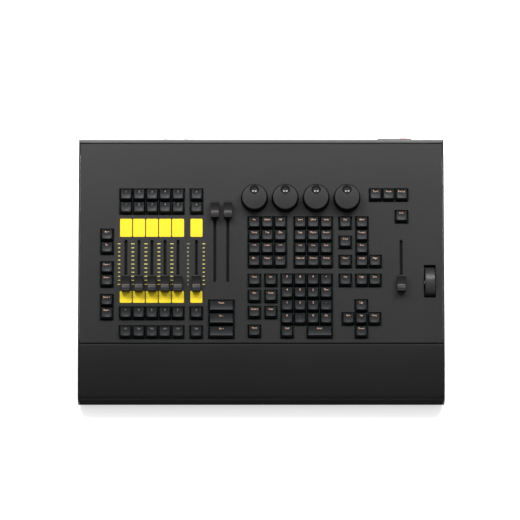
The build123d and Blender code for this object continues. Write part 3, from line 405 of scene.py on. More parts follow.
def end_tree(tree, last, shape, given, out):
    """Realizes the last node's instances, sets the material and joins the output."""
    realize = tree.nodes.new("GeometryNodeRealizeInstances")
    paint = tree.nodes.new("GeometryNodeSetMaterial")
    wired(
        tree,
        (last, shape, realize, "Geometry"),
        (realize, "Geometry", paint, "Geometry"),
        (given, "Material", paint, "Material"),
        (paint, "Geometry", out, "Geometry"),
    )


def repeat_tree():
    """Puts one piece at every place of the input mesh, each copy with its own tone."""
    tree, given, out = start_tree("Piece At Each Place", ("Piece", "Object"), ("Seed", "Int"))
    info = tree.nodes.new("GeometryNodeObjectInfo")
    place = tree.nodes.new("GeometryNodeInstanceOnPoints")
    random = tree.nodes.new("FunctionNodeRandomValue")
    store = tree.nodes.new("GeometryNodeStoreNamedAttribute")
    store.domain = "INSTANCE"
    store.inputs["Name"].default_value = "tone"
    wired(
        tree,
        (given, "Piece", info, "Object"),
        (given, "Geometry", place, "Points"),
        (info, "Geometry", place, "Instance"),
        (given, "Seed", random, "Seed"),
        (place, "Instances", store, "Geometry"),
    )
    value = next(s for s in random.outputs if s.type == "VALUE" and s.enabled)
    tree.links.new(value, store.inputs["Value"])
    end_tree(tree, store, "Geometry", given, out)
    return tree


def scale_tree():
    """Columns of short bars: the input mesh gives the foot of each column."""
    numbers = ("Length", "Height", "Thickness", "Tilt")
    tree, given, out = start_tree(
        "Scale Of Marks", ("Count", "Int"), ("Step", "Vector"), *((n, "Float") for n in numbers)
    )
    size = tree.nodes.new("ShaderNodeCombineXYZ")
    bar = tree.nodes.new("GeometryNodeMeshCube")
    turn = tree.nodes.new("ShaderNodeCombineXYZ")
    line = tree.nodes.new("GeometryNodeMeshLine")
    line.mode = "OFFSET"
    column = tree.nodes.new("GeometryNodeInstanceOnPoints")
    spread = tree.nodes.new("GeometryNodeInstanceOnPoints")
    wired(
        tree,
        (given, "Length", size, "X"),
        (given, "Height", size, "Y"),
        (given, "Thickness", size, "Z"),
        (size, "Vector", bar, "Size"),
        (given, "Count", line, "Count"),
        (given, "Step", line, "Offset"),
        (given, "Tilt", turn, "X"),
        (line, "Mesh", column, "Points"),
        (bar, "Mesh", column, "Instance"),
        (turn, "Vector", column, "Rotation"),
        (given, "Geometry", spread, "Points"),
        (column, "Instances", spread, "Instance"),
    )
    end_tree(tree, spread, "Instances", given, out)
    return tree


TREES = {}


def tree(name, maker):
    """A tree by name, made once."""
    if name not in TREES:
        TREES[name] = maker()
    return TREES[name]


def evaluated_mesh(piece):
    """A plain mesh of a piece as its modifiers leave it, or of a curve."""
    bpy.context.view_layer.update()
    return bpy.data.meshes.new_from_object(
        piece.evaluated_get(bpy.context.evaluated_depsgraph_get())
    )


def grown(name, places, group, values):
    """The plain mesh object that a tree makes from a mesh of places."""
    seed = bpy.data.meshes.new(name + "_places")
    seed.from_pydata([tuple(p) for p in places], [], [])
    piece = new_object(name, seed)
    modifier = piece.modifiers.new("grow", "NODES")
    modifier.node_group = group
    for label, value in values.items():
        modifier[socket_id(group, label)] = value
    made = evaluated_mesh(piece)
    piece.modifiers.remove(modifier)
    piece.data = made
    made.name = name
    return piece


def repeated(name, pattern_mesh, places, material, seed):
    """Copies of a mesh, built level, on the tilted panel at (u, v, w) places in mm."""
    pattern = new_object(name + "_pattern", pattern_mesh)
    pattern_mesh.transform(PANEL.to_3x3().to_4x4())
    made = grown(
        name,
        [PANEL @ (Vector(p) * MM) for p in places],
        tree("repeat", repeat_tree),
        {"Piece": pattern, "Material": material, "Seed": seed},
    )
    bpy.data.objects.remove(pattern)
    return made


# ---------------------------------------------------------------- shader node groups


def shader_group(name, inputs, outputs):
    """A shader node group with inputs of (label, default) and outputs, all of them numbers."""
    group = bpy.data.node_groups.new(name, "ShaderNodeTree")
    for label, default in inputs:
        made = group.interface.new_socket(label, in_out="INPUT", socket_type="NodeSocketFloat")
        made.default_value = default
    for label in outputs:
        group.interface.new_socket(label, in_out="OUTPUT", socket_type="NodeSocketFloat")
    return group, group.nodes.new("NodeGroupInput"), group.nodes.new("NodeGroupOutput")


def mapped(group, source, low, high, out_low=0.0, out_high=1.0):
    """A Map Range node on a value."""
    node = group.nodes.new("ShaderNodeMapRange")
    node.inputs["From Min"].default_value = low
    node.inputs["From Max"].default_value = high
    node.inputs["To Min"].default_value = out_low
    node.inputs["To Max"].default_value = out_high
    group.links.new(source, node.inputs["Value"])
    return node.outputs["Result"]


def grain_group():
    """Moulded or sprayed grain: a height for bump, with a grain size in mm."""
    group, given, out = shader_group(
        "Surface Grain", [("Size", 0.8), ("Softness", 0.5)], ["Height"]
    )
    nodes = group.nodes
    place = nodes.new("ShaderNodeTexCoord")
    scale = nodes.new("ShaderNodeMath")
    scale.operation = "DIVIDE"
    scale.inputs[0].default_value = 1 / MM
    fine = nodes.new("ShaderNodeTexNoise")
    fine.inputs["Detail"].default_value = 3.0
    cells = nodes.new("ShaderNodeTexVoronoi")
    cells.feature = "SMOOTH_F1"
    mix = nodes.new("ShaderNodeMix")
    wired(
        group,
        (given, "Size", scale, 1),
        (place, "Object", fine, "Vector"),
        (scale, "Value", fine, "Scale"),
        (place, "Object", cells, "Vector"),
        (scale, "Value", cells, "Scale"),
        (given, "Softness", mix, "Factor"),
        (cells, "Distance", mix, "A"),
        (fine, "Fac", mix, "B"),
        (mix, "Result", out, "Height"),
    )
    return group


def wear_group():
    """Rubbed edges: a mask where the surface bends sharply, broken up by noise."""
    group, given, out = shader_group(
        "Rubbed Edges", [("Reach", 0.0006), ("Breakup", 60.0), ("Amount", 1.0)], ["Mask"]
    )
    nodes, link = group.nodes, group.links.new
    bevel = nodes.new("ShaderNodeBevel")
    bevel.samples = 4
    geometry = nodes.new("ShaderNodeNewGeometry")
    dot = nodes.new("ShaderNodeVectorMath")
    dot.operation = "DOT_PRODUCT"
    place = nodes.new("ShaderNodeTexCoord")
    noise = nodes.new("ShaderNodeTexNoise")
    noise.inputs["Detail"].default_value = 5.0
    both, amount = nodes.new("ShaderNodeMath"), nodes.new("ShaderNodeMath")
    both.operation = amount.operation = "MULTIPLY"
    link(mapped(group, dot.outputs["Value"], 0.999, 0.93), both.inputs[0])
    link(mapped(group, noise.outputs["Fac"], 0.42, 0.62), both.inputs[1])
    wired(
        group,
        (given, "Reach", bevel, "Radius"),
        (bevel, "Normal", dot, 0),
        (geometry, "Normal", dot, 1),
        (place, "Object", noise, "Vector"),
        (given, "Breakup", noise, "Scale"),
        (both, "Value", amount, 0),
        (given, "Amount", amount, 1),
        (amount, "Value", out, "Mask"),
    )
    return group


def handled_group():
    """Uneven sheen from handling: broad, faint patches."""
    group, given, out = shader_group(
        "Handled Sheen", [("Scale", 9.0), ("Low", 0.4), ("High", 0.6)], ["Roughness", "Patch"]
    )
    nodes = group.nodes
    place = nodes.new("ShaderNodeTexCoord")
    broad = nodes.new("ShaderNodeTexNoise")
    broad.inputs["Detail"].default_value = 6.0
    broad.inputs["Roughness"].default_value = 0.62
    spread = nodes.new("ShaderNodeMapRange")
    spread.inputs["From Min"].default_value = 0.3
    spread.inputs["From Max"].default_value = 0.7
    wired(
        group,
        (place, "Object", broad, "Vector"),
        (given, "Scale", broad, "Scale"),
        (broad, "Fac", spread, "Value"),
        (given, "Low", spread, "To Min"),
        (given, "High", spread, "To Max"),
        (spread, "Result", out, "Roughness"),
    )
    group.links.new(mapped(group, broad.outputs["Fac"], 0.35, 0.65), out.inputs["Patch"])
    return group


GROUPS = {}


def effect(material, name, maker, **values):
    """A shared effect placed in a material with its own values."""
    if name not in GROUPS:
        GROUPS[name] = maker()
    node = material.node_tree.nodes.new("ShaderNodeGroup")
    node.node_tree = GROUPS[name]
    for label, value in values.items():
        node.inputs[label.title()].default_value = value
    return node


def mixed_colour(material, factor, first, second):
    """A colour mix, where each colour is a value or a socket."""
    node = material.node_tree.nodes.new("ShaderNodeMix")
    node.data_type = "RGBA"
    colours = [s for s in node.inputs if s.type == "RGBA"]
    for socket, colour in zip(colours, (first, second)):
        if isinstance(colour, bpy.types.NodeSocket):
            material.node_tree.links.new(colour, socket)
        else:
            socket.default_value = (*colour, 1.0)
    material.node_tree.links.new(factor, node.inputs["Factor"])
    return next(s for s in node.outputs if s.type == "RGBA")


FINISHES = {}
PLAIN = dict(
    shade=1.0, grain=0.0, bump=0.0, metallic=0.0, vary=0.12, rubbed=None, rub_amount=1.0,
    rub_reach=0.0006, scale=9.0, softness=0.5, coat=0.0, coat_roughness=0.2, tone=0.0, specular=0.5,
)
LIGHTEST_TONE = 1.9  # how much lighter than its plain colour a copy's own tone may be


def chosen(value):
    """A look's own value, or the sidebar's where it names a group and a setting."""
    if isinstance(value, str):
        group, name = value.split(".")
        value = getattr(getattr(bpy.context.scene, group), name)
    return value


def surface(name):
    """A finish: base colour with broad variation, handled sheen, grain and rubbed edges."""
    if name in FINISHES:
        return FINISHES[name]
    look = {key: chosen(value) for key, value in {**PLAIN, **LOOKS[name]}.items()}
    colour = [c * look["shade"] for c in look["colour"]]

    def lightened(factor):
        return tuple(min(1.0, c * factor) for c in colour)

    material = bpy.data.materials.new(name)
    material.use_nodes = True
    nodes, link = material.node_tree.nodes, material.node_tree.links.new
    shader = nodes["Principled BSDF"]
    shader.inputs["Metallic"].default_value = look["metallic"]
    shader.inputs["Specular IOR Level"].default_value = look["specular"]
    if look["coat"]:
        shader.inputs["Coat Weight"].default_value = look["coat"]
        shader.inputs["Coat Roughness"].default_value = look["coat_roughness"]
    low, high = look["roughness"]
    sheen = effect(material, "handled", handled_group, scale=look["scale"], low=low, high=high)
    link(sheen.outputs["Roughness"], shader.inputs["Roughness"])
    result = mixed_colour(
        material, sheen.outputs["Patch"], lightened(1 - look["vary"]), lightened(1 + look["vary"])
    )
    if look["tone"]:
        own = nodes.new("ShaderNodeAttribute")
        own.attribute_name = "tone"
        share = mapped(material.node_tree, own.outputs["Fac"], 0, 1, 0, look["tone"])
        result = mixed_colour(material, share, result, lightened(LIGHTEST_TONE))
    if look["rubbed"]:
        edges = effect(
            material, "wear", wear_group, reach=look["rub_reach"], amount=look["rub_amount"]
        )
        result = mixed_colour(material, edges.outputs["Mask"], result, look["rubbed"])
    link(result, shader.inputs["Base Color"])
    if look["bump"]:
        size, softness = look["grain"], look["softness"]
        texture = effect(material, "grain", grain_group, size=size, softness=softness)
        lift = nodes.new("ShaderNodeBump")
        lift.inputs["Strength"].default_value = look["bump"]
        lift.inputs["Distance"].default_value = size * MM * 0.5
        link(texture.outputs["Height"], lift.inputs["Height"])
        link(lift.outputs["Normal"], shader.inputs["Normal"])
    FINISHES[name] = material
    return material


def panel_ink(colour, vary=0.15):
    """The look of a print on the panel or a fader cap."""
    return dict(colour=colour, roughness=(0.5, 0.6), vary=vary, scale=500.0)


def key_ink(colour):
    """The look of a pad-printed legend on a key cap."""
    return dict(colour=colour, roughness=(0.5, 0.65), scale=400.0)


COAT = dict(
    colour="desk_case.paint", grain="desk_case.grain", bump=0.3, vary=0.05, scale=7.0, softness=0.8,
    rubbed=(0.045, 0.045, 0.045), rub_amount=0.3, rub_reach=0.0005,
)
LOOKS = {
    # the case's fine-textured powder coat
    "powder_coat": dict(COAT, roughness=(0.34, 0.42), specular=0.2),
    # the side plates' and tray's coat, a little darker: painted shade
    "side_coat": dict(COAT, shade=0.85, roughness=(0.38, 0.46), specular=0.2),
    # the wrist rest's coat, flatter from use and a little darker; the darker colour is painted
    # shade
    "rest_coat": dict(
        COAT, shade=0.75, roughness=(0.42, 0.5), bump=0.25, rubbed=(0.02, 0.02, 0.02),
        specular=0.11,
    ),
    # the wrist rest's coat on its front edge and underside, duller and without reflection: painted
    # shade
    "nose_coat": dict(
        colour=(0.011, 0.011, 0.011), roughness=(0.6, 0.7), grain=0.9, bump=0.25, vary=0.05,
        scale=7.0, softness=0.8, specular=0.0,
    ),
    # the rear panel's coat, lighter and more reflective than the rest: painted light
    "rear_coat": dict(
        COAT, shade=3.2, roughness=(0.34, 0.42), rubbed=(0.2, 0.2, 0.2), specular=0.6,
    ),
    # near-black keycap plastic, polished by fingers on top
    "key_plastic": dict(
        colour=(0.0045, 0.005, 0.0062), roughness=(0.28, 0.38), grain=0.25, bump=0.05,
        vary=0.1, scale=120.0, tone=0.5, rubbed=(0.02, 0.021, 0.022), rub_amount=0.5,
        rub_reach=0.0005, specular=0.2,
    ),
    # the pad-printed legends
    "legend_ink": key_ink("desk_keys.legend_colour"),
    # the greyer figures on the executor keys
    "dim_ink": key_ink((0.19, 0.16, 0.145)),
    # satin black fader caps
    "fader_plastic": dict(
        colour=(0.006, 0.006, 0.0065), roughness=(0.40, 0.5), grain=0.3, bump=0.08,
        vary=0.1, scale=150.0, rubbed=(0.03, 0.03, 0.03), rub_amount=0.4, specular=0.25,
    ),
    # soft-touch knobs
    "knob_plastic": dict(
        colour=(0.008, 0.008, 0.0083), roughness=(0.32, 0.42), grain=0.35, bump=0.2,
        vary=0.08, scale=60.0, rubbed=(0.03, 0.03, 0.03), rub_amount=0.35, rub_reach=0.0007,
        specular=0.22,
    ),
    # the knobs' sides and bevel, darker than their tops: painted shade
    "knob_skirt": dict(
        colour=(0.002, 0.002, 0.0022), roughness=(0.4, 0.5), vary=0.1, scale=60.0,
        specular=0.05,
    ),
    # the polished finger dimple
    "knob_gloss": dict(
        colour=(0.008, 0.008, 0.009), roughness=(0.06, 0.12), vary=0.05, scale=200.0,
    ),
    # the yellow write-on fields, a little scuffed
    "label_foil": dict(
        colour="desk_faders.label_colour", roughness=(0.55, 0.7), grain=0.3, bump=0.05,
        vary=0.03, scale=70.0, specular=0.2,
    ),
    # the yellow scale marks
    "scale_ink": panel_ink((0.68, 0.58, 0.09), 0.1),
    # the greyer scale numbers
    "number_ink": panel_ink((0.36, 0.33, 0.20)),
    # the dull line across each fader cap
    "index_ink": panel_ink((0.22, 0.14, 0.12)),
    # the printed foil under the write-on fields
    "foil_print": dict(
        colour=(0.0098, 0.0096, 0.0098), roughness=(0.36, 0.44), grain=0.5, bump=0.15,
        vary=0.06, scale=12.0, softness=0.8, specular=0.2,
    ),
    # zinc-plated sheet, screws and levers
    "bare_steel": dict(
        colour=(0.42, 0.42, 0.43), roughness=(0.3, 0.45), metallic=1.0, vary=0.15,
        scale=80.0, grain=0.4, bump=0.1,
    ),
    # the fader tracks' cases, near-black so that the slots read dark: painted shade
    "dark_steel": dict(
        colour=(0.004, 0.004, 0.0042), roughness=(0.35, 0.5), vary=0.2, scale=80.0,
        specular=0.15,
    ),
    # blackened screw heads
    "black_oxide": dict(
        colour=(0.035, 0.035, 0.037), roughness=(0.35, 0.5), metallic=0.8, vary=0.2,
        scale=300.0, rubbed=(0.3, 0.3, 0.3), rub_amount=0.7, rub_reach=0.0003,
    ),
    # socket shells
    "nickel": dict(
        colour=(0.24, 0.235, 0.22), roughness=(0.25, 0.38), metallic=1.0, scale=120.0,
        rubbed=(0.5, 0.49, 0.47), rub_amount=0.5, rub_reach=0.0004,
    ),
    # standoffs
    "brass_plate": dict(colour=(0.6, 0.45, 0.2), roughness=(0.25, 0.4), metallic=1.0, scale=200.0),
    # the power supply's cage
    "aluminium_sheet": dict(
        colour=(0.6, 0.6, 0.61), roughness=(0.35, 0.5), metallic=1.0, scale=40.0, grain=0.5,
        bump=0.12,
    ),
    # circuit boards
    "solder_mask": dict(colour=(0.012, 0.10, 0.04), roughness=(0.25, 0.35), scale=60.0),
    # moulded housings and socket bodies
    "moulded_black": dict(
        colour=(0.018, 0.018, 0.019), roughness=(0.35, 0.5), grain=0.4, bump=0.12,
        scale=90.0, rubbed=(0.08, 0.08, 0.08), rub_amount=0.4, rub_reach=0.0004,
    ),
    # flat cable and insulated wire
    "wire_jacket": dict(colour=(0.22, 0.22, 0.23), roughness=(0.45, 0.6), scale=90.0),
    # rubber feet
    "foot_rubber": dict(
        colour=(0.015, 0.015, 0.015), roughness=(0.75, 0.9), grain=0.5, bump=0.3, scale=90.0,
    ),
    # the glossy red rocker
    "rocker_red": dict(
        colour=(0.62, 0.012, 0.008), roughness=(0.12, 0.25), vary=0.08, scale=90.0, coat=0.4,
    ),
    # the level wheel's satin rim
    "wheel_plastic": dict(
        colour=(0.016, 0.016, 0.017), roughness=(0.3, 0.4), grain=0.3, bump=0.08, vary=0.08,
        scale=120.0,
    ),
}

NODE_FINISH = {
    "control_panel": "powder_coat", "fader_foil": "foil_print", "fader_tracks": "dark_steel",
    "rear_panel": "rear_coat", "left_side_plate": "side_coat", "right_side_plate": "side_coat",
    "base_tray": "side_coat", "wrist_rest": "rest_coat", "frame_bars": "bare_steel",
    "case_screws": "black_oxide", "rubber_feet": "foot_rubber", "key_switches": "moulded_black",
    "encoder_bodies": "bare_steel", "wheel_bracket": "black_oxide", "panel_boards": "solder_mask",
    "main_board": "solder_mask", "board_components": "moulded_black",
    "board_standoffs": "brass_plate", "power_supply": "aluminium_sheet",
    "mains_wiring": "wire_jacket", "ribbon_cables": "wire_jacket",
    "mains_inlet": "moulded_black", "dmx_sockets": "nickel", "midi_sockets": "moulded_black",
    "data_sockets": "nickel", "power_rocker": "rocker_red",
}


# ---------------------------------------------------------------- key caps

CAP_SHIFT = 1.1  # a cap's top stands this far to the rear of its base, in mm
CAP_WALL = 1.3
DISH_RADIUS = 7.0
LEGEND_ROOM = 12.4  # the widest that a legend may be, in mm


def dished(x, y, high, dish, wide):
    """Height of a cap's top at (x, y) from its centre: a round dish, or a wide cap's trough."""
    across = y * y if wide else x * x + y * y
    return high - dish * max(0.0, 1.0 - across / DISH_RADIUS**2)


def cap_rings(base_width, base_depth, low, high):
    """Rings of a hollow cap in mm, from its ceiling round the skirt to the middle of its top."""
    sizes = bpy.context.scene.desk_keys
    extra = base_width - base_depth
    wide = extra > 1.0
    top_w, top_d, shift = sizes.top_width + extra, sizes.top_depth, CAP_SHIFT

    def level(t, inset=0.0, z=None):
        width = base_width + (top_w - base_width) * t - 2 * inset
        depth = base_depth + (top_d - base_depth) * t - 2 * inset
        height = low + (high - low) * t if z is None else z
        return rounded_ring(width, depth, max(0.3, 1.0 - 0.2 * t - inset), height, shift * t)

    rings = [level(0.68, CAP_WALL), level(0.0, CAP_WALL), level(0.0), level(0.5), level(0.93)]
    rings.append(level(0.98, 0.04))
    rings.append(level(1.0, 0.2, high - 0.02))
    for share in (0.985, 0.9, 0.76, 0.6, 0.44, 0.28, 0.12):
        width, depth = (top_w - 0.5) * share, (top_d - 0.5) * share
        ring = rounded_ring(width, depth, 0.8 * share, 0.0, shift)
        for point in ring:
            point.z = dished(point.x, point.y - shift, high, sizes.dish, wide) - 0.03
        rings.append(ring)
    return [[p * MM for p in ring] for ring in rings]


def key_cap_mesh(name, base_width, base_depth, low, high):
    """A cap's mesh at its own origin."""
    mesh = lofted(name, cap_rings(base_width, base_depth, low, high))
    sharp_by_angle(mesh, 40.0)
    return mesh


class DESK_OT_key_caps(bpy.types.Operator):
    """Builds every bank of key caps in place of its CAD node"""

    bl_idname = "desk.key_caps"
    bl_label = "Key Caps"

    def execute(self, context):
        for index, node in enumerate(KEY_NODES):
            caps = cap_boxes(node)
            size = caps[0][1] - caps[0][0]
            low, high = caps[0][0].z, caps[0][1].z
            places = [(*middle(b), 0.0) for b in caps]
            mesh = key_cap_mesh(node + "_cap", size.x, size.y, low, high)
            piece = repeated("caps_" + node, mesh, places, surface("key_plastic"), seed=11 + index)
            finish(piece, BODY_OF[node], node)
        return {"FINISHED"}


# ---------------------------------------------------------------- legends

FIGURES = [str(k) for k in range(1, 7)]
LEGENDS = {
    "executor_keys_row_1": FIGURES,
    "executor_keys_row_2": FIGURES,
    "executor_keys_row_3": FIGURES,
    "executor_keys_row_4": ["10" + figure for figure in FIGURES],
    "page_keys": ["Pg +", "Pg -", "Row +", "Row -", "Bank +", "Bank -"],
    "pause_key": ["Pause"],
    "go_back_key": ["Go -"],
    "go_key": ["Go +"],
    "programming_keys": [
        "Fix", "Select", "Off", "Temp", "Top", "On", "<<<", "Learn", ">>>", "Go -", "Pause", "Go +",
    ],
    "object_keys": [
        "View", "Effect", "Goto", "Page", "Macro", "Preset",
        "List", "Cue", "Exec", "Channel", "Fixture", "Group",
    ],
    "modify_keys": ["Del", "Copy", "Move", "Full"],
    "output_keys": ["Blind", "Freeze", "Prev", "Assign", "Align", "High", "Solo"],
    "edit_keys": ["Time", "Esc", "Edit", "Undo", "Update", "Clear", "Store"],
    "number_keys": [
        "7", "8", "9", "+", "4", "5", "6", "Thru", "1", "2", "3", "-", "0", ".", "If", "At",
    ],
    "shift_key": ["Shift"],
    "enter_key": ["Enter"],
    "cursor_keys": ["Up", "Prev", "Set", "Next", "Down"],
    "setup_keys": ["Tools", "Setup", "Backup"],
    "blackout_key": ["B.O."],
}


def text_mesh(text, size):
    """Words as a thin solid, centred, as high as size."""
    curve = bpy.data.curves.new("words", "FONT")
    curve.body = text
    curve.size = size
    curve.align_x = "CENTER"
    curve.resolution_u = 2
    curve.extrude = 0.03 * MM
    holder = new_object("words", curve)
    mesh = evaluated_mesh(holder)
    bpy.data.objects.remove(holder)
    bpy.data.curves.remove(curve)
    return mesh


def painted(piece, material):
    """Gives a piece its one finish."""
    piece.data.materials.clear()
    piece.data.materials.append(material)
    for polygon in piece.data.polygons:
        polygon.material_index = 0
    return piece


def joined(name, meshes, material):
    """One piece from several meshes, with one finish."""
    work = bmesh.new()
    for mesh in meshes:
        work.from_mesh(mesh)
        bpy.data.meshes.remove(mesh)
    made = bpy.data.meshes.new(name)
    work.to_mesh(made)
    work.free()
    return painted(new_object(name, made), material)


def printed_on_cap(text, place, sizes):
    """A legend near the rear of one cap's top, bent to its dish."""
    u, v, width, high = place
    wide = width > 25.0
    figure = len(text) <= 2
    size = sizes.legend_size * (1.25 if figure else 1.0)
    mesh = text_mesh(text, size * MM)
    spread = max(v.co.x for v in mesh.vertices) - min(v.co.x for v in mesh.vertices)
    squeeze = min(1.0, LEGEND_ROOM * MM / spread)
    rise = CAP_SHIFT + sizes.top_depth * 0.27 - size * 0.35
    for vert in mesh.vertices:
        x, y = vert.co.x * squeeze / MM, vert.co.y / MM + rise
        top = dished(x, y - CAP_SHIFT, high, sizes.dish, wide)
        vert.co = PANEL @ (Vector((u + x, v + y, top + 0.04 + vert.co.z / MM)) * MM)
    return mesh


class DESK_OT_legends(bpy.types.Operator):
    """Prints a generic legend on each key cap"""

    bl_idname = "desk.legends"
    bl_label = "Key Legends"

    def execute(self, context):
        sizes = context.scene.desk_keys
        for node, words in LEGENDS.items():
            places = cap_places(node)
            if len(places) != len(words):
                raise RuntimeError(f"{node} has {len(places)} caps and {len(words)} legends")
            meshes = [printed_on_cap(t, p, sizes) for t, p in zip(words, places)]
            ink = surface("dim_ink") if node.startswith("executor") else surface("legend_ink")
            finish(joined("legends_" + node, meshes, ink), BODY_OF[node])
        return {"FINISHED"}


# ---------------------------------------------------------------- faders

DIP = -2.3  # where a fader cap's saddle is lowest and its index line lies, in mm from its middle


def fader_section(half, low, high, valley):
    """A cap's side outline: two raised ends with a finger saddle, lowest at DIP, between them."""
    points = [(half + 0.5, low), (half + 0.1, high - 2.2), (half - 0.5, high - 0.7)]
    points.append((half - 1.6, high))
    steps = 14
    reach = half - 1.6
    for k in range(1, steps):
        y = reach * (1 - 2 * k / steps)
        away = (y - DIP) / (reach - DIP if y > DIP else reach + DIP)
        points.append((y, valley + (high - valley) * away**2))
    points += [(-reach, high), (-half + 0.5, high - 0.7), (-half - 0.1, high - 2.2)]
    points.append((-half - 0.5, low))
    return points


def extruded(name, section, width):
    """A closed prism along X from a (y, z) outline given anticlockwise seen from +X."""
    mesh = bmesh.new()
    sides = [
        [mesh.verts.new((x, y, z)) for y, z in section] for x in (-width / 2, width / 2)
    ]
    count = len(section)
    mesh.faces.new(list(reversed(sides[0])))
    mesh.faces.new(sides[1])
    for i in range(count):
        j = (i + 1) % count
        mesh.faces.new((sides[0][i], sides[0][j], sides[1][j], sides[1][i]))
    data = bpy.data.meshes.new(name)
    mesh.to_mesh(data)
    mesh.free()
    return data


def softened(piece, width, segments=3):
    """Applies a bevel to a piece's edges and shades it smooth."""
    bevel = piece.modifiers.new("soften", "BEVEL")
    bevel.width = width
    bevel.segments = segments
    bevel.limit_method = "ANGLE"
    bevel.angle_limit = math.radians(40.0)
    made = evaluated_mesh(piece)
    piece.modifiers.remove(bevel)
    piece.data = made
    sharp_by_angle(made, 50.0)
    return piece


def set_down(piece, u, v, w=0.0):
    """Puts a mesh built at its own origin, in mm, on the panel at (u, v, w)."""
    piece.data.transform(Matrix.Scale(MM, 4))
    piece.data.transform(PANEL @ Matrix.Translation(Vector((u, v, w)) * MM))
    return piece


class DESK_OT_faders(bpy.types.Operator):
    """Builds the fader caps, their index lines and levers"""

    bl_idname = "desk.faders"
    bl_label = "Fader Caps"

    def execute(self, context):
        for node in FADER_NODES:
            cap = top_box(node)
            size = cap[1] - cap[0]
            u, v = middle(cap)
            low, high = cap[0].z, cap[1].z
            valley = low + (high - low) * 0.72
            half = size.y / 2 - 0.6
            outline = fader_section(half, low, high, valley)
            piece = new_object("cap_" + node, extruded(node, outline, size.x - 0.02))
            softened(piece, 0.7)
            set_down(painted(piece, surface("fader_plastic")), u, v)
            finish(piece, BODY_OF[node], node)
            line = [(0.22, -0.3), (0.22, 0.07), (-0.22, 0.07), (-0.22, -0.3)]
            mark = new_object("index_" + node, extruded("index", line, size.x - 1.5))
            set_down(painted(softened(mark, 0.04, 1), surface("index_ink")), u, v + DIP, valley)
            finish(mark, BODY_OF[node])
            blade = [(2.5, -4.0), (2.5, low + 1.0), (-2.5, low + 1.0), (-2.5, -4.0)]
            lever = new_object("lever_" + node, extruded("lever", blade, 1.2))
            set_down(painted(softened(lever, 0.15, 2), surface("bare_steel")), u, v)
            finish(lever, BODY_OF[node])
        return {"FINISHED"}


# ---------------------------------------------------------------- scales and write-on fields


def executor_columns():
    """(u, v) in mm of each executor fader's index line at rest."""
    return sorted(middle(top_box(node)) for node in FADER_NODES if node.startswith("executor"))


class DESK_OT_scales(bpy.types.Operator):
    """Prints the scale marks and numbers beside the executor faders"""

    bl_idname = "desk.scales"
    bl_label = "Fader Scales"

    def execute(self, context):
        sizes = context.scene.desk_faders
        columns = executor_columns()
        foot = columns[0][1]
        travel = joint("executor_fader_1_slide")["range_m"][1] / MM
        step = travel / (sizes.mark_count - 1)
        us = [u for u, _ in columns]
        gap = (us[1] - us[0]) / 2
        middles = [(a + b) / 2 for a, b in zip(us, us[1:])]
        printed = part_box("fader_foil")[1]
        surface_w = (TO_PANEL @ printed).z / MM
        slope = PANEL.col[1].to_3d()
        inner = [u + 0.6 for u in middles[:4]]
        outer = [us[0] - gap - 0.4, us[-1] + gap + 1.2]
        whole, ends = sizes.mark_count, 3
        for name, marks, count, length, thickness in (
            ("inner", inner, whole, 0.8, 0.12),
            ("inner_long", inner, ends, 1.0, 0.14),
            ("outer", outer, whole, 0.6, 0.12),
            ("outer_long", outer, ends, 0.8, 0.14),
        ):
            piece = grown(
                "scale_marks_" + name,
                [PANEL @ (Vector((u, foot, surface_w + 0.03)) * MM) for u in marks],
                tree("scale", scale_tree),
                {
                    "Count": count,
                    "Step": slope * step * (whole - 1) / (count - 1) * MM,
                    "Length": sizes.mark_length * length * MM,
                    "Height": 0.75 * MM,
                    "Thickness": thickness * MM,
                    "Tilt": TILT,
                    "Material": surface("scale_ink"),
                },
            )
            finish(piece, CASE)
        numbers = []
        for k in range(sizes.mark_count):
            mesh = text_mesh(str(10 * k), 2.9 * MM)
            place = Vector((middles[4] + 1.2, foot + k * step - 1.05, surface_w + 0.04)) * MM
            mesh.transform(PANEL @ Matrix.Translation(place))
            numbers.append(mesh)
        finish(joined("scale_numbers", numbers, surface("number_ink")), CASE)
        return {"FINISHED"}


class DESK_OT_fields(bpy.types.Operator):
    """Lays the yellow write-on fields"""

    bl_idname = "desk.fields"
    bl_label = "Write-on Fields"

    def execute(self, context):
        boxes = islands("label_fields")
        heights = sorted({round(b[1].y - b[0].y, 1) for b in boxes})
        made = []
        for height in heights:
            same = [b for b in boxes if abs(b[1].y - b[0].y - height) < 0.2]
            size = same[0][1] - same[0][0]
            rings = [
                rounded_ring(size.x, size.y, 1.5, 0.0),
                rounded_ring(size.x, size.y, 1.5, size.z * 0.6),
                rounded_ring(size.x - 0.16, size.y - 0.16, 1.42, size.z),
            ]
            mesh = lofted("field", [[p * MM for p in ring] for ring in rings])
            sharp_by_angle(mesh, 20.0)
            places = [(*middle(b), b[0].z) for b in same]
            name = f"write_on_fields_{len(made) + 1}"
            made.append(repeated(name, mesh, places, surface("label_foil"), seed=5))
        finish(made[0], CASE, "label_fields")
        for piece in made[1:]:
            finish(piece, CASE, slot=SLOTS["label_fields"])
        return {"FINISHED"}


# ---------------------------------------------------------------- knobs and wheel

DIMPLE_RADIUS = 6.9
DIMPLE_DEPTH = 3.4
DIMPLE_OFFSET = 10.4  # from the knob's axis to the dimple's middle, in mm
RIB_PITCH = 1.75  # between the grooves round the wheel's rim, in mm
GROOVE_DEPTH = 0.3
AXLE_RADIUS = 3.0
AXLE_END = 12.6


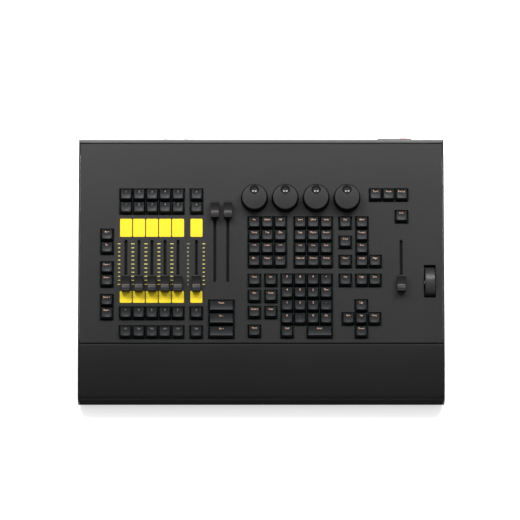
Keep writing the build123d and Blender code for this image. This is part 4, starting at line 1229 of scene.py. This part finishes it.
def knob_mesh(base_r, low, high):
    """A knob in mm: a chamfered, slightly tapered drum with a polished finger dimple."""
    profile = rounded_profile(
        [
            (0.01, low, 0), (base_r - 0.7, low, 0.3), (base_r - 0.05, low + 0.7, 0.4),
            (base_r - 0.8, high - 1.9, 0.3), (base_r - 2.3, high - 0.02, 0.2), (0.01, high, 0),
        ]
    )
    piece = new_object("knob", turned("knob", profile, 128))
    ball_r = (DIMPLE_RADIUS**2 + DIMPLE_DEPTH**2) / (2 * DIMPLE_DEPTH)
    centre = Vector((0, DIMPLE_OFFSET, high + ball_r - DIMPLE_DEPTH))
    ball = bmesh.new()
    bmesh.ops.create_uvsphere(ball, u_segments=96, v_segments=64, radius=ball_r)
    bmesh.ops.translate(ball, verts=ball.verts, vec=centre)
    cutter_mesh = bpy.data.meshes.new("cutter")
    ball.to_mesh(cutter_mesh)
    ball.free()
    cutter = new_object("cutter", cutter_mesh)
    cut = piece.modifiers.new("dimple", "BOOLEAN")
    cut.operation = "DIFFERENCE"
    cut.solver = "EXACT"
    cut.object = cutter
    made = evaluated_mesh(piece)
    bpy.data.objects.remove(cutter)
    bpy.data.objects.remove(piece)
    made.materials.clear()
    for look in ("knob_plastic", "knob_gloss", "knob_skirt"):
        made.materials.append(surface(look))
    # faces below the top take the darker side finish, which is painted shade; the dimple's faces
    # take the gloss
    for polygon in made.polygons:
        inside = (polygon.center - centre).length < ball_r + 0.02
        below = polygon.center.z < high - 0.03
        polygon.material_index = 1 if inside and below else 2 if below else 0
    sharp_by_angle(made, 30.0)
    return made


class DESK_OT_knobs(bpy.types.Operator):
    """Builds the encoder knobs"""

    bl_idname = "desk.knobs"
    bl_label = "Encoder Knobs"

    def execute(self, context):
        pattern = None
        for node in KNOB_NODES:
            body = max(islands(node), key=lambda b: b[1].x - b[0].x)
            if pattern is None:
                pattern = knob_mesh((body[1].x - body[0].x) / 2, body[0].z, body[1].z)
            piece = new_object("knob_" + node, pattern.copy())
            finish(set_down(piece, *middle(body)), BODY_OF[node], node)
        return {"FINISHED"}


class DESK_OT_wheel(bpy.types.Operator):
    """Builds the level wheel"""

    bl_idname = "desk.wheel"
    bl_label = "Level Wheel"

    def execute(self, context):
        rim = top_box("level_wheel")
        centre = (rim[0] + rim[1]) / 2
        radius, half = (rim[1].z - rim[0].z) / 2, (rim[1].x - rim[0].x) / 2
        corners = [(0.01, -half, 0), (6.0, -half, 0.4), (7.0, -half + 2.0, 0.4)]
        corners += [(radius - 5.0, -half + 2.0, 0.6), (radius - 4.0, -half, 0.5)]
        corners += [(radius - 0.8, -half, 0.7), (radius, -half + 1.2, 0.7)]
        for k in range(-3, 4):
            x = k * RIB_PITCH
            corners += [(radius, x - 0.35, 0.08), (radius - GROOVE_DEPTH, x, 0.1)]
            corners.append((radius, x + 0.35, 0.08))
        corners += [(r, -z, c) for r, z, c in reversed(corners[:7])]
        profile = rounded_profile(corners, 3)
        mesh = turned("level_wheel", profile, 160)
        mesh.transform(Matrix.Rotation(math.pi / 2, 4, "Y"))
        sharp_by_angle(mesh, 50.0)
        piece = painted(new_object("wheel_rim", mesh), surface("wheel_plastic"))
        finish(set_down(piece, *centre), BODY_OF["level_wheel"], "level_wheel")
        ends = [(0.01, -AXLE_END, 0), (AXLE_RADIUS, -AXLE_END, 0.3)]
        ends += [(r, -z, c) for r, z, c in reversed(ends)]
        axle = turned("axle", rounded_profile(ends), 48)
        axle.transform(Matrix.Rotation(math.pi / 2, 4, "Y"))
        sharp_by_angle(axle, 40.0)
        pin = painted(new_object("wheel_axle", axle), surface("bare_steel"))
        finish(set_down(pin, *centre), BODY_OF["level_wheel"])
        return {"FINISHED"}


# ---------------------------------------------------------------- case


class DESK_OT_case(bpy.types.Operator):
    """Finishes the case, its fittings and the inner parts"""

    bl_idname = "desk.case"
    bl_label = "Case And Fittings"

    smooth = (
        "wrist_rest", "rear_panel", "rubber_feet", "dmx_sockets", "midi_sockets", "power_rocker",
    )

    def execute(self, context):
        for node, look in NODE_FINISH.items():
            if node in self.smooth:
                piece = new_object("shell_" + node, plain_copy(node, node))
                painted(piece, surface(look))
                if node == "wrist_rest":
                    # the faces turned down and forward take the nose's coat without reflection:
                    # painted shade
                    piece.data.materials.append(surface("nose_coat"))
                    for polygon in piece.data.polygons:
                        polygon.material_index = int(polygon.normal.z < 0.5)
                finish(piece, BODY_OF[node], node)
            else:
                painted(NODES[node], surface(look))
        return {"FINISHED"}


# ---------------------------------------------------------------- stage

FLOOR_REACH = 12.0
FLOOR_GLOW = 0.45  # what the softly lit table gives off


def area_light(name, size, power, place, target, colour=(1, 1, 1)):
    """A rectangular soft light that faces a point."""
    data = bpy.data.lights.new(name, "AREA")
    data.shape = "RECTANGLE"
    data.size, data.size_y = size
    data.energy = power
    data.color = colour
    lamp = bpy.data.objects.new(name, data)
    bpy.context.scene.collection.objects.link(lamp)
    lamp.location = place
    lamp.rotation_euler = (Vector(target) - Vector(place)).to_track_quat("-Z", "Y").to_euler()
    return lamp


def studio_dome(strength):
    """A white ceiling that fades to dark walls, darkest in front of the desk."""
    world = bpy.data.worlds.new("studio")
    world.use_nodes = True
    nodes, link = world.node_tree.nodes, world.node_tree.links.new
    sky = nodes["Background"]
    sky.inputs["Color"].default_value = (1, 1, 1, 1)
    where = nodes.new("ShaderNodeTexCoord")
    split = nodes.new("ShaderNodeSeparateXYZ")
    both = nodes.new("ShaderNodeMath")
    both.operation = "MULTIPLY"
    link(where.outputs["Generated"], split.inputs["Vector"])
    link(mapped(world.node_tree, split.outputs["Z"], 0.2, 0.8, 0.12, strength), both.inputs[0])
    link(mapped(world.node_tree, split.outputs["Y"], -0.3, 0.2, 0.6, 1.0), both.inputs[1])
    link(both.outputs["Value"], sky.inputs["Strength"])
    return world


def pale_floor():
    """The plain pale top of a softly lit table."""
    material = bpy.data.materials.new("pale_floor")
    material.use_nodes = True
    shader = material.node_tree.nodes["Principled BSDF"]
    shader.inputs["Base Color"].default_value = (0.93, 0.93, 0.93, 1)
    shader.inputs["Roughness"].default_value = 0.9
    shader.inputs["Emission Color"].default_value = (1, 1, 1, 1)
    shader.inputs["Emission Strength"].default_value = FLOOR_GLOW
    return material


class DESK_OT_stage(bpy.types.Operator):
    """Lays the floor, hangs the lights and sets the camera"""

    bl_idname = "desk.stage"
    bl_label = "Stage"

    def execute(self, context):
        scene, setting = context.scene, context.scene.desk_stage
        scene.view_settings.view_transform = "Standard"
        floor_mesh = bpy.data.meshes.new("floor")
        signs = ((-1, -1), (1, -1), (1, 1), (-1, 1))
        corners = [(x * FLOOR_REACH, y * FLOOR_REACH, 0) for x, y in signs]
        floor_mesh.from_pydata(corners, [], [(0, 1, 2, 3)])
        floor_mesh.materials.append(pale_floor())
        new_object("floor", floor_mesh)

        scene.world = studio_dome(setting.dome)
        middle = (CAD_BOX[0] + CAD_BOX[1]) / 2
        power = setting.lamp_power
        area_light("left_softbox", (0.5, 0.4), power, (-0.62, 0.74, 1.15), middle)
        area_light("right_softbox", (0.5, 0.4), power * 0.9, (0.66, 0.74, 1.15), middle)
        area_light("rear_strip", (1.4, 0.25), power * 0.45, (0.0, 0.42, 0.95), middle)

        target = PANEL @ Vector(setting.aim)
        sight = Matrix.Rotation(setting.lean, 3, "X") @ PANEL.col[2].to_3d()
        camera = bpy.data.cameras.new("camera")
        camera.lens = camera.sensor_width * setting.distance / setting.view_width
        holder = bpy.data.objects.new("camera", camera)
        scene.collection.objects.link(holder)
        holder.location = target + sight * setting.distance
        holder.rotation_euler = (-sight).to_track_quat("-Z", "Y").to_euler()
        scene.camera = holder
        return {"FINISHED"}


# ---------------------------------------------------------------- the add-on


class DESK_PT_sidebar(bpy.types.Panel):
    """Lists the desk's operators and sizes"""

    bl_idname = "DESK_PT_sidebar"
    bl_label = "Lighting Desk"
    bl_space_type = "VIEW_3D"
    bl_region_type = "UI"
    bl_category = "Lighting Desk"

    def draw(self, context):
        for operator in OPERATORS:
            self.layout.operator(operator.bl_idname)
        for group in ("desk_keys", "desk_faders", "desk_case", "desk_stage"):
            holder = getattr(context.scene, group)
            box = self.layout.box()
            for name in holder.__annotations__:
                box.prop(holder, name)


PROPERTIES = {
    "desk_keys": DeskKeys, "desk_faders": DeskFaders,
    "desk_case": DeskCase, "desk_stage": DeskStage,
}
OPERATORS = [
    DESK_OT_case, DESK_OT_key_caps, DESK_OT_legends, DESK_OT_faders, DESK_OT_fields,
    DESK_OT_scales, DESK_OT_knobs, DESK_OT_wheel, DESK_OT_stage,
]


def register():
    """Registers the classes and the scene's property groups."""
    for made in (*PROPERTIES.values(), *OPERATORS, DESK_PT_sidebar):
        bpy.utils.register_class(made)
    for name, group in PROPERTIES.items():
        setattr(bpy.types.Scene, name, PointerProperty(type=group))


def unregister():
    """Takes them away again."""
    for name in PROPERTIES:
        delattr(bpy.types.Scene, name)
    for made in (DESK_PT_sidebar, *reversed(OPERATORS), *reversed(PROPERTIES.values())):
        bpy.utils.unregister_class(made)


def main():
    """Builds the desk and its stage."""
    register()
    for operator in OPERATORS:
        group, name = operator.bl_idname.split(".")
        getattr(getattr(bpy.ops, group), name)()


if __name__ == "__main__":
    main()
